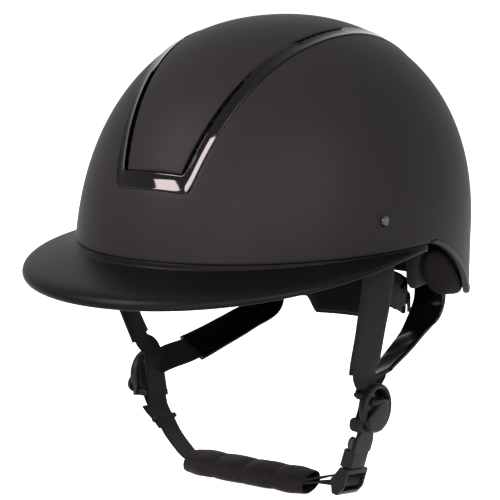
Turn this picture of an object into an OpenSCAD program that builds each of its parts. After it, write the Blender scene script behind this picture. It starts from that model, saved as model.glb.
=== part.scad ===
// Riding helmet with a wide brim, a chrome trim frame, a dial-fit cradle and a four-point harness.
// The wearer faces -Y and the buckle is on the wearer's left, +X. Z = 0 is the shell's widest plane.

/* [Shell] */
// Half of the shell's width at its widest plane
shell_half_width = 110; // [102:1:116]
// Reach of the shell in front of the origin
shell_front = 128.8; // [122:0.2:136]
// Reach of the shell behind the origin
shell_rear = 146; // [138:0.5:152]
// Height of the crown above the widest plane
crown_height = 139; // [130:1:146]
// How far the crown leans to the rear
crown_shift = 16; // [8:1:22]
// Wall of the shell
shell_wall = 3; // [2.4:0.1:4]
// Height of the seam between the shell and the brim
seam_z = 9.5; // [7:0.5:12]
// Drop of the ear arch from the seam to the rear edge
arch_drop = 44; // [34:1:48]
// Where the ear arch starts along Y
arch_start = 5; // [2:1:10]
// Length of the ear arch along Y
arch_length = 77; // [70:1:84]
// Height of the bead along the rear edge
bead_height = 2.6; // [2:0.1:4]

/* [Brim] */
// Width of the brim at the front, beyond the shell
brim_width = 41.8; // [30:0.2:48]
// Drop of the brim's lip below the seam at the front
brim_drop = 20; // [14:0.5:26]
// Wall of the brim where it passes under the shell
brim_wall = 3.2; // [2.6:0.1:4]

/* [Trim frame and centre panel] */
// Height angle of the trim's front bar above the widest plane
bar_angle = 17.8; // [15:0.2:22]
// Height of the front bar, as an angle
bar_rise = 4.2; // [3:0.1:6]
// Half of the front bar's length
bar_half = 25.2; // [20:0.2:30]
// Width of the trim's arms at the front
trim_width = 6.6; // [5:0.1:8]
// How far the trim stands above the shell
trim_proud = 1.1; // [0.5:0.1:2]
// Width of the vent slots between the panel and the trim
slot_width = 2.8; // [2:0.1:4]
// Depth of the recess that the trim and the panel sit in
recess = 1.7; // [1.2:0.1:2]

/* [Liner] */
// Thickness of the shock liner at the sides
liner_side = 22; // [18:0.5:24]
// Thickness of the shock liner at the front and rear
liner_ends = 28; // [22:0.5:32]
// Thickness of the shock liner at the crown
liner_crown = 26; // [20:0.5:30]
// Thickness of the comfort padding
pad_thickness = 5; // [3:0.5:6]
// Thickness of the leather neck pad
neck_pad_thickness = 10; // [7:0.5:11]
// Height of the neck pad's lower edge at the rear
neck_pad_low = -37; // [-41:0.5:-34]

/* [Harness] */
// Width of the webbing
webbing_width = 18; // [14:0.5:19]
// Thickness of the webbing
webbing = 1.3; // [1:0.1:1.5]
// Width of the sleeves on the straps
sleeve_width = 23; // [21:0.5:26]
// Thickness of the sleeves on the straps
sleeve_thickness = 3.2; // [3:0.1:4]
// Distance of the strap dividers from the middle
divider_x = 84.5; // [82:0.5:88]
// Outer radius of a divider's ring
ring_radius = 14.6; // [14:0.1:15.5]
// Inner radius of a divider's ring
ring_bore = 11.4; // [10.8:0.1:11.8]
// Radius of the bars that the webbing loops round
bar_radius = 1.4; // [1.2:0.1:1.6]
// Radius of a cam lever's pin
lever_pin_radius = 1.2; // [1:0.1:1.3]
// Inward lean of the buckle
buckle_lean = 13; // [8:0.5:14]
// Width of the buckle's collar
buckle_width = 20; // [19:0.5:22]
// Thickness of the buckle's collar
buckle_thickness = 7.6; // [7.4:0.1:9]
// Length of the chin pad
chin_pad_length = 90; // [80:1:92]
// Thickness of the chin pad
chin_pad_thickness = 13; // [11:0.5:15]
// Width of the chin pad
chin_pad_width = 24; // [22:0.5:27]
// Number of sewn segments in the chin pad
chin_pad_segments = 4; // [3:1:6]

/* [Dial cradle] */
// Inner radius of the nape cradle
cradle_radius = 73; // [71:0.5:74]
// Wall of the nape cradle
cradle_wall = 2.5; // [2:0.1:3]
// Thickness of the adjusting belts
belt = 1.5; // [1.2:0.1:1.6]
// Height of the dial's axis
dial_z = -42; // [-44:0.5:-40]
// Radius of the dial
dial_radius = 15; // [12:0.5:16]
// Thickness of the dial
dial_thickness = 9; // [7:0.5:9.5]
// Number of teeth on the dial's pinion
pinion_teeth = 11; // [11:2:11]
// Radius of the pinion's pitch circle
pinion_pitch = 4.2; // [4.2:0.1:4.3]
// Radius of the temple pins that the cradle hangs on
temple_pin = 2; // [1.6:0.1:2.4]

/* [Hidden] */
$fn = 48;

// Gap between soft or moulded pieces that lie against each other
seat_gap = 0.3;
// Gap between curved faces that are drawn in flats
facet_gap = 0.8;
// Radial clearance of a turning pin
running_gap = 0.05;
// Roundness powers of the shell, in plan and in section
plan_power = 2.06;
flank_power_front = 2.43;
flank_power_rear = 1.93;
crown_power_front = 2.25;
crown_power_rear = 2.23;
// The skirt below Z = 0 drops this far per degree and draws in by this share per millimetre
skirt_rate = 2.4;
skirt_tuck = 0.0002;
shell_columns = 60;
shell_rows = 10;

shell_in = [shell_wall, shell_wall, shell_wall];
liner_out = shell_in + facet_gap * [1, 1, 1];
liner_in = liner_out + [liner_side, liner_ends, liner_crown];
comfort_out = liner_in + facet_gap * [1, 1, 1];
comfort_in = comfort_out + pad_thickness * [1, 1, 1];
on_surface = [0, 0, 0];

function spow(v, e) = sign(v) * pow(abs(v), e);
function clamp(v, low, high) = min(max(v, low), high);
function mix(a, b, f) = a + (b - a) * f;
function unit(v) = v / norm(v);
function flat(lists) = [for (list = lists) each list];
function all_in(v) = [v, v, v];

// The shell's surface at plan angle phi and lift t, moved in by an inset along each axis
function crown_power(phi) = mix(crown_power_front, crown_power_rear, (1 + sin(phi)) / 2);
function flank_power(phi) = mix(flank_power_front, flank_power_rear, (1 + sin(phi)) / 2);
function reach(phi) = sin(phi) < 0 ? shell_front : shell_rear;
function dome(phi, t, inset) = let (
        h = t > 0 ? pow(sin(t), 2 / crown_power(phi)) : 0,
        r = t > 0 ? pow(max(cos(t), 0), 2 / flank_power(phi)) : 1 + t * skirt_rate * skirt_tuck)
    [spow(cos(phi), 2 / plan_power) * (shell_half_width - inset.x) * r,
     spow(sin(phi), 2 / plan_power) * (reach(phi) - inset.y) * r + crown_shift * h,
     (crown_height - inset.z) * h + min(t, 0) * skirt_rate];
function apex(inset) = [0, crown_shift, crown_height - inset.z];
function lift(z, phi, inset) =
    z > 0 ? asin(pow(z / (crown_height - inset.z), crown_power(phi) / 2)) : z / skirt_rate;
function base_y(phi) = spow(sin(phi), 2 / plan_power) * reach(phi);

// Lower edges along Y: the rim, the shell above its bead, and the shock liner
arch_power = 1.5;
function arch_share(y) = clamp((y - arch_start) / arch_length, 0, 1);
function rim_z(y) = seam_z - arch_drop * pow(arch_share(y), arch_power);
bead_run_in = 8;
function bead_at(y) = bead_height * clamp((y - arch_start) / bead_run_in, 0, 1);
function shell_edge(y) = rim_z(y) + bead_at(y);
liner_low = -18;
liner_step = 4;
function liner_edge(y) = max(rim_z(y) + liner_step, liner_low);

// Faces of a quad that is named clockwise as seen from outside
function quad(a, b, c, d) = [[a, b, c], [a, c, d]];

// A cup closed at its apex, with a wall between two grids of rows
function cup_rows(edge, inset, columns, rows) =
    [for (i = [0:rows - 1]) [for (j = [0:columns - 1])
        let (phi = 360 * j / columns, t0 = lift(edge(base_y(phi)), phi, inset))
            dome(phi, t0 + (90 - t0) * i / rows, inset)]];
module cup(outer, inner, top_outer, top_inner) {
    rows = len(outer);
    columns = len(outer[0]);
    back = rows * columns + 1;
    function at(i, j) = i * columns + j % columns;
    points = concat(flat(outer), [top_outer], flat(inner), [top_inner]);
    last = rows - 1;
    faces = [for (j = [0:columns - 1]) each concat(
        quad(at(0, j), at(0, j + 1), back + at(0, j + 1), back + at(0, j)),
        [[at(last, j), rows * columns, at(last, j + 1)],
         [back + at(last, j), back + at(last, j + 1), back + rows * columns]],
        [for (i = [0:last - 1]) each concat(
            quad(at(i, j), at(i + 1, j), at(i + 1, j + 1), at(i, j + 1)),
            quad(back + at(i, j), back + at(i, j + 1), back + at(i + 1, j + 1), back + at(i + 1, j)))])];
    polyhedron(points, faces);
}

// A slab between two grids of the same size
module slab(outer, inner) {
    rows = len(outer);
    columns = len(outer[0]);
    back = rows * columns;
    function at(i, j) = i * columns + j;
    last = rows - 1;
    side = columns - 1;
    faces = concat(
        [for (i = [0:last - 1], j = [0:side - 1]) each concat(
            quad(at(i, j), at(i + 1, j), at(i + 1, j + 1), at(i, j + 1)),
            quad(back + at(i, j), back + at(i, j + 1), back + at(i + 1, j + 1), back + at(i + 1, j)))],
        [for (j = [0:side - 1]) each concat(
            quad(at(0, j), at(0, j + 1), back + at(0, j + 1), back + at(0, j)),
            quad(at(last, j + 1), at(last, j), back + at(last, j), back + at(last, j + 1)))],
        [for (i = [0:last - 1]) each concat(
            quad(at(i + 1, 0), at(i, 0), back + at(i, 0), back + at(i + 1, 0)),
            quad(at(i, side), at(i + 1, side), back + at(i + 1, side), back + at(i, side)))]);
    polyhedron(concat(flat(outer), flat(inner)), faces);
}

// A bar through sections that each run anticlockwise round the way of travel
module sweep(sections) {
    n = len(sections[0]);
    last = len(sections) - 1;
    function at(i, j) = i * n + j % n;
    faces = concat(
        [for (i = [0:last - 1], j = [0:n - 1])
            each quad(at(i, j), at(i + 1, j), at(i + 1, j + 1), at(i, j + 1))],
        [for (j = [1:n - 2]) each [[0, j, j + 1], [at(last, 0), at(last, j + 1), at(last, j)]]]);
    polyhedron(flat(sections), faces);
}

// A sleeve through outer and inner sections of the same count
module hollow_sweep(outer, inner) {
    n = len(outer[0]);
    last = len(outer) - 1;
    back = len(outer) * n;
    function at(i, j) = i * n + j % n;
    faces = concat(
        [for (i = [0:last - 1], j = [0:n - 1]) each concat(
            quad(at(i, j), at(i + 1, j), at(i + 1, j + 1), at(i, j + 1)),
            quad(back + at(i, j), back + at(i, j + 1), back + at(i + 1, j + 1), back + at(i + 1, j)))],
        [for (j = [0:n - 1]) each concat(
            quad(at(0, j), at(0, j + 1), back + at(0, j + 1), back + at(0, j)),
            quad(at(last, j + 1), at(last, j), back + at(last, j), back + at(last, j + 1)))]);
    polyhedron(concat(flat(outer), flat(inner)), faces);
}

// Sections of a strap along a path, each with its own width and width direction
function tangent(path, i) =
    unit(path[min(i + 1, len(path) - 1)] - path[max(i - 1, 0)]);
function strap_sections(path, ways, widths, thickness) =
    [for (i = [0:len(path) - 1])
        let (along = tangent(path, i),
            across = unit(ways[i] - (ways[i] * along) * along) * widths[i] / 2,
            up = unit(cross(along, ways[i])) * thickness / 2)
        [path[i] + across + up, path[i] - across + up, path[i] - across - up, path[i] + across - up]];

// Places on the shell by distance across and angle over the crown from the front
function over(across, angle, inset) = let (
        x = across / shell_half_width,
        m = sqrt(1 - x * x),
        yn = -cos(angle) * m,
        zn = sin(angle) * m)
    dome(atan2(yn, x), asin(zn), inset);

trim_end_angle = 150;
arm_steps = 20;
arm_end = 0.998;
function arm_angle(f) = mix(bar_angle, trim_end_angle, f);
function trim_outer(f) = bar_half + 62.5 * f - 47.4 * f * f - 1.9 * pow(f, 3);
function arm_width(f) = mix(trim_width, trim_width * 0.6, f);
function slot_open(f) = f < 0.275 || (f > 0.4 && f < 0.55);
function trim_inner(f) =
    trim_outer(f) - arm_width(f) - (slot_open(f) ? 0 : slot_width - seat_gap);
function panel_edge(f) = trim_outer(f) - arm_width(f) - slot_width;

module outer_shell() color("#2b2a2d") difference() {
    cup(cup_rows(function(y) shell_edge(y), on_surface, shell_columns, shell_rows),
        cup_rows(function(y) shell_edge(y), shell_in, shell_columns, shell_rows),
        apex(on_surface), apex(shell_in));
    recess_block(seat_gap);
    for (side = [-1, 1]) {
        vent_cut(side, 0.03, 0.26, recess - 0.6, shell_wall + 1.5);
        vent_cut(side, 0.41, 0.54, recess - 0.6, shell_wall + 1.5);
        mirror([side < 0 ? 1 : 0, 0, 0]) anchor_bore();
    }
}

// The block that clears room for the trim and the panel
panel_columns = 3;
module recess_block(clearance) {
    front = bar_angle - clearance;
    function angle_at(i) = i == 0 ? front : arm_angle(i / arm_steps);
    function rows_at(inset) = [for (i = [0:arm_steps]) [for (j = [-panel_columns:panel_columns])
        over(j / panel_columns * (trim_outer(i / arm_steps) + clearance), angle_at(i), all_in(inset))]];
    slab(rows_at(-4), rows_at(recess));
}

// A vent channel under a slot, from one inset to a deeper one
module vent_cut(side, from, to, top, depth) {
    steps = 6;
    margin = 0.4;
    function row(f, inset) = let (a = side * (trim_outer(f) - arm_width(f) - margin),
            b = side * (panel_edge(f) + margin))
        [for (x = side > 0 ? [b, a] : [a, b]) over(x, arm_angle(f), all_in(inset))];
    slab([for (i = [0:steps]) row(mix(from, to, i / steps), top)],
         [for (i = [0:steps]) row(mix(from, to, i / steps), depth)]);
}

module centre_panel() {
    panel_top = 0;
    panel_lift = 0.8;
    function angle_at(i) = i == 0 ? bar_angle + bar_rise + seat_gap / 2
        : arm_angle(mix(0.045, arm_end, i / arm_steps));
    function edge_at(i) = panel_edge(i == 0 ? 0.03 : mix(0.045, arm_end, i / arm_steps));
    function rows_at(inset) = [for (i = [0:arm_steps]) [for (j = [-panel_columns:panel_columns])
        over(j / panel_columns * edge_at(i), angle_at(i), all_in(inset))]];
    color("#302e31") slab(rows_at(panel_top), rows_at(recess - panel_lift));
}

// One arm or bar section of the trim, from its outer edge to its inner edge
function trim_section(outer, outer_angle, inner, inner_angle) =
    let (floor_in = recess - 0.5, crest = -trim_proud, lip = 0.12)
    [over(outer, outer_angle, all_in(floor_in)),
     over(outer, outer_angle, all_in(0.3)),
     over(mix(outer, inner, lip), mix(outer_angle, inner_angle, lip), all_in(crest)),
     over(mix(outer, inner, 0.55), mix(outer_angle, inner_angle, 0.55), all_in(crest * 0.3)),
     over(mix(outer, inner, 1 - lip), mix(outer_angle, inner_angle, 1 - lip), all_in(crest * 0.5)),
     over(inner, inner_angle, all_in(0.3)),
     over(inner, inner_angle, all_in(floor_in))];

module trim_frame() {
    bar_steps = 6;
    corner = 1;
    inner_corner = trim_inner(0) + 1.6;
    function arm(side, f) = trim_section(side * trim_outer(f), arm_angle(f),
        side * trim_inner(f), arm_angle(f));
    color("#0c0c0f") sweep(concat(
        [for (i = [0:arm_steps - corner]) arm(1, min(1 - i / arm_steps, arm_end))],
        [for (i = [0:bar_steps]) let (s = 1 - 2 * i / bar_steps)
            trim_section(s * trim_outer(0), bar_angle, s * inner_corner, bar_angle + bar_rise)],
        [for (i = [corner:arm_steps]) arm(-1, min(i / arm_steps, arm_end))]));
}

// Small ribs across the upper end of each vent slot, under the panel's edge
module vent_grilles() {
    half = 0.5;
    function rows_at(side, f, inset) = [for (k = [-1, 1]) let (g = f + k * half / 400)
        [for (x = side > 0 ? [panel_edge(g) + 0.1, trim_inner(g) - 0.1]
                : [-trim_inner(g) + 0.1, -panel_edge(g) - 0.1])
            over(x, arm_angle(g), all_in(inset))]];
    color("#151517") for (side = [-1, 1], f = [0.06:0.035:0.25])
        slab(rows_at(side, f, 0.6), rows_at(side, f, recess - seat_gap));
}

// Brim: a section from the seam out to the lip and back under, scaled by its width and drop
brim_span = 91.4;
brim_steps = 34;
brim_end = 0.6;
brim_profile = [[0, 0], [0, 0.14], [0.05, 0.20], [0.16, 0.275], [0.36, 0.365], [0.6, 0.47],
    [0.8, 0.56], [0.92, 0.65], [0.975, 0.75], [1, 0.87], [0.99, 0.96], [0.96, 1],
    [0.88, 0.96], [0.66, 0.81], [0.36, 0.68], [0.1, 0.6]];
function brim_reach(theta) = brim_width * pow(max(1 - pow(theta / brim_span, 2), 0), 1.34);
function brim_fall(theta) = let (x = theta / brim_span)
    brim_drop * (1 - 1.87 * pow(x, 2) + 1.08 * pow(x, 4));
function brim_section(theta) = let (
        phi = theta - 90,
        root = dome(phi, lift(seam_z, phi, on_surface), on_surface),
        behind = dome(phi, lift(seam_z, phi, all_in(brim_wall)), all_in(brim_wall)),
        out = unit([root.x / pow(shell_half_width, 2), root.y / pow(shell_front, 2), 0]))
    concat([for (p = brim_profile) [root.x, root.y, seam_z] + out * p[0] * brim_reach(theta)
            - [0, 0, p[1] * brim_fall(theta)]],
        [[behind.x, behind.y, seam_z - 0.56 * brim_fall(theta)], [behind.x, behind.y, seam_z]]);
module brim() color("#333034")
    sweep([for (i = [0:brim_steps])
        brim_section(mix(brim_end - brim_span, brim_span - brim_end, i / brim_steps))]);

// Rounded bead along the ear arches and the rear edge
module edge_bead() {
    function section(phi) = let (y = base_y(phi), low = rim_z(y), top = shell_edge(y) - seat_gap)
        [for (p = [[-0.5, 1], [-0.5, 0.4], [0.2, 0.08], [1.5, 0], [2.8, 0.1], [3.4, 0.45], [3.4, 1]])
            let (z = mix(low, top, p[1])) dome(phi, lift(z, phi, all_in(p[0])), all_in(p[0]))];
    start = brim_span + brim_end - 90;
    count = shell_columns / 2;
    stations = concat([start], [for (k = [1:count - 1]) 180 * k / count], [180 - start]);
    color("#262427") sweep([for (phi = stations) section(phi)]);
}

module shock_liner() color("#1b1b1d") difference() {
    cup(cup_rows(function(y) liner_edge(y), liner_out, shell_columns, shell_rows),
        cup_rows(function(y) liner_edge(y), liner_in, shell_columns, shell_rows),
        apex(liner_out), apex(liner_in));
    for (side = [-1, 1]) {
        vent_cut(side, 0.04, 0.25, shell_wall - 1, shell_wall + liner_crown + 12);
        strap_pocket(side);
        temple_bore(side);
    }
}

// Room in the shock liner for the top of a front strap
pocket_depth = 16;
module strap_pocket(side) {
    pocket = [pocket_depth + 10, sleeve_width + 12, 40];
    translate([side * (shell_half_width - pocket_depth + pocket.x / 2), anchor.y + 1, pocket.z / 2 - 3])
        cube(pocket, center = true);
}

module comfort_liner() {
    from = -155;
    steps = 24;
    rises = 4;
    function rows_at(inset) = [for (i = [0:rises]) [for (j = [0:steps])
        let (phi = mix(from, -180 - from, j / steps), z = mix(16, 48, i / rises),
            swell = inset.x > comfort_out.x ? sin(180 * i / rises) - 1 : 0)
            dome(phi, lift(z, phi, inset), inset + all_in(swell))]];
    color("#202022") slab(rows_at(comfort_out), rows_at(comfort_in));
}

module crown_pad() color("#202022") {
    columns = 32;
    rows = 4;
    edge = 100 - liner_crown;
    cup(cup_rows(function(y) edge, comfort_out, columns, rows),
        cup_rows(function(y) edge, comfort_in, columns, rows),
        apex(comfort_out), apex(comfort_in));
}

// Leather pad round the neck: a soft roll under the shock liner's rear edge
neck_from = 6.6;
neck_steps = 40;
neck_round = 3;
module neck_pad() {
    function section(i) = let (
            phi = mix(neck_from, 180 - neck_from, i / neck_steps),
            y = base_y(phi),
            end = min(i, neck_steps - i) / neck_round,
            share = end < 1 ? sqrt(1 - pow(1 - end, 2) * 0.92) : 1,
            top = liner_edge(y) - seat_gap - 0.4,
            low = mix(neck_pad_low + 12, neck_pad_low, clamp((y - 27) / 68, 0, 1)),
            middle = (top + low) / 2,
            half = (top - low) / 2 * share,
            thick = neck_pad_thickness / 2 * mix(share, 1, 0.3),
            centre = shell_wall + facet_gap + neck_pad_thickness / 2)
        [for (k = [11:-1:0]) let (
                inset = centre - thick * spow(cos(k * 30), 0.7),
                z = middle + half * spow(sin(k * 30), 0.6))
            dome(phi, lift(z, phi, all_in(inset)), all_in(inset))];
    color("#241f1d") sweep([for (i = [0:neck_steps]) section(i)]);
}

// Rivets that hold the front straps: a cap outside, a shank, and a washer on the strap
anchor = [shell_half_width - 5.4, -35, 28];
bore_length = 40;
rivet_shank = 2;
module anchor_bore() translate([anchor.x - bore_length / 2, anchor.y, anchor.z]) rotate([0, 90, 0])
    cylinder(h = bore_length, r = rivet_shank + running_gap);
module anchor_rivets() color("#101012") for (side = [0, 1]) mirror([side, 0, 0]) {
    translate([front_path[0].x - 3, anchor.y, anchor.z]) rotate([0, 90, 0]) {
        cylinder(h = 1.2, r = 4.2);
        cylinder(h = anchor.x - front_path[0].x + 4.5, r = rivet_shank);
    }
    translate([anchor.x + 0.4, anchor.y, anchor.z]) rotate([0, 90, 0])
        cylinder(h = 1.1, r1 = 3.4, r2 = 2.6);
}

// Harness frame: X across, U along the straps' width, V up, from the strap junction
harness_tilt = 8.65;
junction = [0, -14, -73.4];
function harness(p) = junction + [p.x,
    p.y * cos(harness_tilt) + p.z * sin(harness_tilt),
    p.z * cos(harness_tilt) - p.y * sin(harness_tilt)];
module harness_frame() translate(junction) rotate([-harness_tilt, 0, 0]) children();

// Bars behind each divider's ring, as distance from the ring and height
upper_bar = [-4.8, -7];
lower_bar = [-5.6, -26.5];
loop_wall = 1.45;
loop_outer = bar_radius + running_gap + loop_wall;
loop_length = webbing_width / 2 + 1;
loop_split = 0.4;

function upper_loop(u) = harness([divider_x + upper_bar[0], u, upper_bar[1]]);
front_loop_u = -(loop_split + loop_length / 2);
rear_loop_u = -front_loop_u;
strap_top = shell_half_width - 11.6;
front_path = [[strap_top, -34.2, 32], [strap_top + 0.9, -33.6, 18], [strap_top + 0.8, -32.4, 2],
    [strap_top - 0.6, -32, -12], [92.6, -30.4, -35], [83.9, -24.9, -62.8], [81.4, -20.7, -72],
    upper_loop(front_loop_u)];
front_way = [0.26, 0.965, 0];
bar_way = [0, cos(harness_tilt), -sin(harness_tilt)];
front_ways = [front_way, front_way, front_way, front_way, front_way, [0.22, 0.975, 0],
    [0.1, 0.98, -0.08], bar_way];
rear_top = shell_half_width * 0.56;
rear_path = [[rear_top, 83.5, -18.6], [rear_top + 0.4, 84, -42], [59, 76, -57], [62.5, 56, -63.5],
    [66, 36, -69], [71, 10.5, -75.5], [75.4, -5.6, -78.2], upper_loop(rear_loop_u)];
rear_ways = [[-1, 0, 0], [-1, 0, -0.1], [-0.97, -0.05, -0.25], [-0.93, -0.09, -0.37],
    [-0.88, -0.2, -0.42], [-0.69, -0.44, -0.57], [-0.3, -0.85, -0.3], -bar_way];
function strap_widths(count) =
    [for (i = [0:count - 1]) i > count - 3 ? loop_length - 0.4 : webbing_width];

// Webbing of one strap, with the loop that goes round the divider's upper bar
module strap(path, ways, loop_u) difference() {
    union() {
        sweep(strap_sections(path, ways, strap_widths(len(path)), webbing));
        harness_frame() translate([divider_x + upper_bar[0], loop_u, upper_bar[1]])
            rotate([90, 0, 0]) cylinder(h = loop_length, r = loop_outer, center = true);
    }
    harness_frame() translate([divider_x + upper_bar[0], loop_u, upper_bar[1]])
        rotate([90, 0, 0]) cylinder(h = loop_length + 2, r = bar_radius + running_gap, center = true);
    if (loop_u < 0) anchor_bore();
}
function part_of(list, from, to) = [for (i = [from:to]) list[i]];
function same(value, count) = [for (i = [1:count]) value];
module sleeve(path, ways, from, to) {
    n = len(path);
    slot = [webbing_width + 1.2, webbing + 2 * seat_gap];
    hollow_sweep(
        part_of(strap_sections(path, ways, same(sleeve_width, n), sleeve_thickness), from, to),
        part_of(strap_sections(path, ways, same(slot[0], n), slot[1]), from, to));
}
module front_strap_left() color("#19191b") strap(front_path, front_ways, front_loop_u);
module front_strap_right() color("#19191b") mirror([1, 0, 0])
    strap(front_path, front_ways, front_loop_u);
module rear_strap_left() color("#19191b") strap(rear_path, rear_ways, rear_loop_u);
module rear_strap_right() color("#19191b") mirror([1, 0, 0])
    strap(rear_path, rear_ways, rear_loop_u);
module front_sleeve() sleeve(front_path, front_ways, 2, 5);
module rear_sleeve() sleeve(rear_path, rear_ways, 1, 5);
module front_sleeve_left() color("#29262a") front_sleeve();
module front_sleeve_right() color("#29262a") mirror([1, 0, 0]) front_sleeve();
module rear_sleeve_left() color("#0e0e10") rear_sleeve();
module rear_sleeve_right() color("#0e0e10") mirror([1, 0, 0]) rear_sleeve();

// Divider: a ring with two bars behind it and a pin for its cam lever
ring_v = -14.4;
ring_back = -1;
ring_front = 4.2;
cam_v = ring_v + 3.6;
cam_w = 4.4;
cam_radius = 2.3;
lever_half = 9.6;
lug = 2;
bar_reach = loop_split + loop_length + 0.6;
module along_u(w, v) translate([w, 0, v]) rotate([90, 0, 0]) children();
module divider() harness_frame() translate([divider_x, 0, 0]) difference() {
    union() {
        difference() {
            translate([ring_back, 0, ring_v]) rotate([0, 90, 0])
                cylinder(h = ring_front - ring_back, r = ring_radius);
            translate([ring_back - 1, 0, ring_v]) rotate([0, 90, 0])
                cylinder(h = ring_front - ring_back + 2, r = ring_bore);
        }
        for (bar = [upper_bar, lower_bar]) {
            along_u(bar[0], bar[1]) cylinder(h = 2 * bar_reach + 2 * lug, r = bar_radius, center = true);
            ear = bar == lower_bar ? 8.6 : 4;
            for (u = [-1, 1])
                translate([bar[0] / 2 - 1.1, u * (bar_reach + lug / 2), bar[1] + ear / 2 - 2])
                    cube([-bar[0] + 2.2, lug, ear], center = true);
        }
        difference() {
            translate([ring_back, -bar_reach - lug, lower_bar[1] - 2])
                cube([2.4, 2 * (bar_reach + lug), 7]);
            translate([ring_back - 1, 0, ring_v]) rotate([0, 90, 0]) cylinder(h = 6, r = ring_bore);
        }
    }
    along_u(cam_w, cam_v) cylinder(h = 2 * ring_radius + 4, r = lever_pin_radius, center = true);
}
module divider_left() color("#232025") divider();
module divider_right() color("#232025") mirror([1, 0, 0]) divider();

module cam_lever() harness_frame() translate([divider_x, 0, 0]) difference() {
    union() {
        along_u(cam_w, cam_v) cylinder(h = 2 * lever_half, r = cam_radius, center = true);
        translate([ring_front + seat_gap, 0, ring_v]) rotate([0, 90, 0]) difference() {
            cylinder(h = 2.2, r = ring_radius - 0.8);
            translate([-ring_radius - 2.6, 0, 1]) cube([2 * ring_radius, 4 * ring_radius, 6], center = true);
        }
    }
    along_u(cam_w, cam_v)
        cylinder(h = 2 * ring_radius, r = lever_pin_radius + running_gap, center = true);
}
module cam_lever_left() color("#34303a") cam_lever();
module cam_lever_right() color("#34303a") mirror([1, 0, 0]) cam_lever();
module lever_pin() harness_frame() translate([divider_x, 0, 0]) along_u(cam_w, cam_v)
    cylinder(h = 2 * 13.4, r = lever_pin_radius, center = true);
module lever_pin_left() color("silver") lever_pin();
module lever_pin_right() color("silver") mirror([1, 0, 0]) lever_pin();

// Buckle frame: the origin is on the left lower bar, and -Z runs down the buckle
module buckle_frame() harness_frame()
    translate([divider_x + lower_bar[0], 0, lower_bar[1]]) rotate([0, buckle_lean, 0]) children();
collar_top = -14.5;
collar_low = -25;
buckle_wall = 1;
prong_thickness = 2.6;
prong_width = 3.2;
prong_top = -6.2;
prong_u = buckle_width / 2 - 3.2;
prong_w = 0.6;
prong_travel = 2.6;
eye_half = 6;
module buckle_socket() color("#2c292e") buckle_frame() difference() {
    union() {
        translate([-buckle_thickness / 2, -buckle_width / 2, collar_low])
            cube([buckle_thickness, buckle_width, collar_top - collar_low]);
        translate([buckle_thickness / 2 - 1.6, -buckle_width / 2 + 1, collar_top - 0.5])
            cube([1.6, buckle_width - 2, 10.5]);
        translate([-1.6, -3, collar_top - 0.5]) cube([3.2, 6, 13]);
        rotate([90, 0, 0]) cylinder(h = 2 * eye_half, r = loop_outer + 0.6, center = true);
        translate([0, -eye_half, -5]) cube([buckle_thickness / 2, 2 * eye_half, 4.2]);
    }
    rotate([90, 0, 0]) cylinder(h = 4 * eye_half, r = bar_radius + running_gap, center = true);
    translate([-buckle_thickness / 2 + buckle_wall, -buckle_width / 2 + buckle_wall, collar_low - 1])
        cube([buckle_thickness - 2 * buckle_wall, buckle_width - 2 * buckle_wall,
            collar_top - collar_low + 0.5]);
    slot = 2 * (prong_travel + 1.3);
    for (u = [-1, 1]) translate([-buckle_thickness / 2 + buckle_wall,
            u * (prong_u + 1.2) - slot / 2, collar_top - 2])
        cube([buckle_thickness - 2 * buckle_wall, slot, 10]);
}

// Insert: the adjuster frame with its window, below the socket's collar
insert_top = collar_low - seat_gap;
insert_length = 17;
insert_width = buckle_width + 2;
insert_w = [-5.4, 4.4];
adjuster_z = insert_top - 9;
adjuster_radius = 2.1;
module buckle_insert() color("#2c292e") buckle_frame() difference() {
    union() {
        translate([insert_w[0], -insert_width / 2, insert_top - insert_length])
            cube([insert_w[1] - insert_w[0], insert_width, insert_length]);
        translate([prong_w - prong_thickness / 2, prong_travel - prong_u, insert_top - 0.5])
            cube([prong_thickness, 2 * (prong_u - prong_travel), 8]);
    }
    translate([insert_w[0] - 1, -insert_width / 2 + 1.8, insert_top - insert_length + 2])
        cube([insert_w[1] - insert_w[0] + 2, insert_width - 3.6, insert_length - 5]);
    translate([0, 0, adjuster_z]) rotate([90, 0, 0])
        cylinder(h = insert_width + 2, r = adjuster_radius, center = true);
}
module adjuster_bar() color("#3a363c") buckle_frame() translate([0, 0, adjuster_z])
    rotate([90, 0, 0]) cylinder(h = insert_width, r = adjuster_radius, center = true);

// Prongs: each a spring arm with a rounded catch that rests above the collar
module prong(side) buckle_frame() {
    stem = [prong_thickness, prong_width, 17.6];
    translate([prong_w - stem.x / 2, side * (prong_u + 0.4) - stem.y / 2, insert_top + seat_gap])
        cube(stem);
    translate([prong_w, side * (prong_u + 1.9), prong_top - 2.9]) rotate([0, 90, 0])
        cylinder(h = prong_thickness, r = 3.5, center = true);
}
module prong_front() color("#4a4042") prong(-1);
module prong_rear() color("#4a4042") prong(1);

// Chin webbing: from the far divider's lower bar through the pad and round the adjuster's bar
far_bar = [-divider_x - lower_bar[0], 0, lower_bar[1]];
function from_buckle(w, z) = [divider_x + lower_bar[0] + w * cos(buckle_lean) + z * sin(buckle_lean),
    0, lower_bar[1] - w * sin(buckle_lean) + z * cos(buckle_lean)];
adjuster = from_buckle(0, adjuster_z);
chin_v = -65;
wrap = adjuster_radius + seat_gap / 3 + webbing / 2;
pad_from = -45;
chin_path = [far_bar + [0, 0, -1.5], far_bar + [4, 0, -7.6], far_bar + [9.4, 0, -14.2],
    [-62.4, 0, -49.6], [-53.6, 0, -57.4], [-45.5, 0, -62.8], [-34, 0, chin_v - 0.7],
    [40, 0, chin_v - 0.7], [54, 0, -62.8], adjuster + [-1, 0, -wrap]];
return_path = [[20, 0, chin_v + 0.8], [40, 0, chin_v + 0.8], [54, 0, -60], adjuster + [-1, 0, wrap]];
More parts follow.
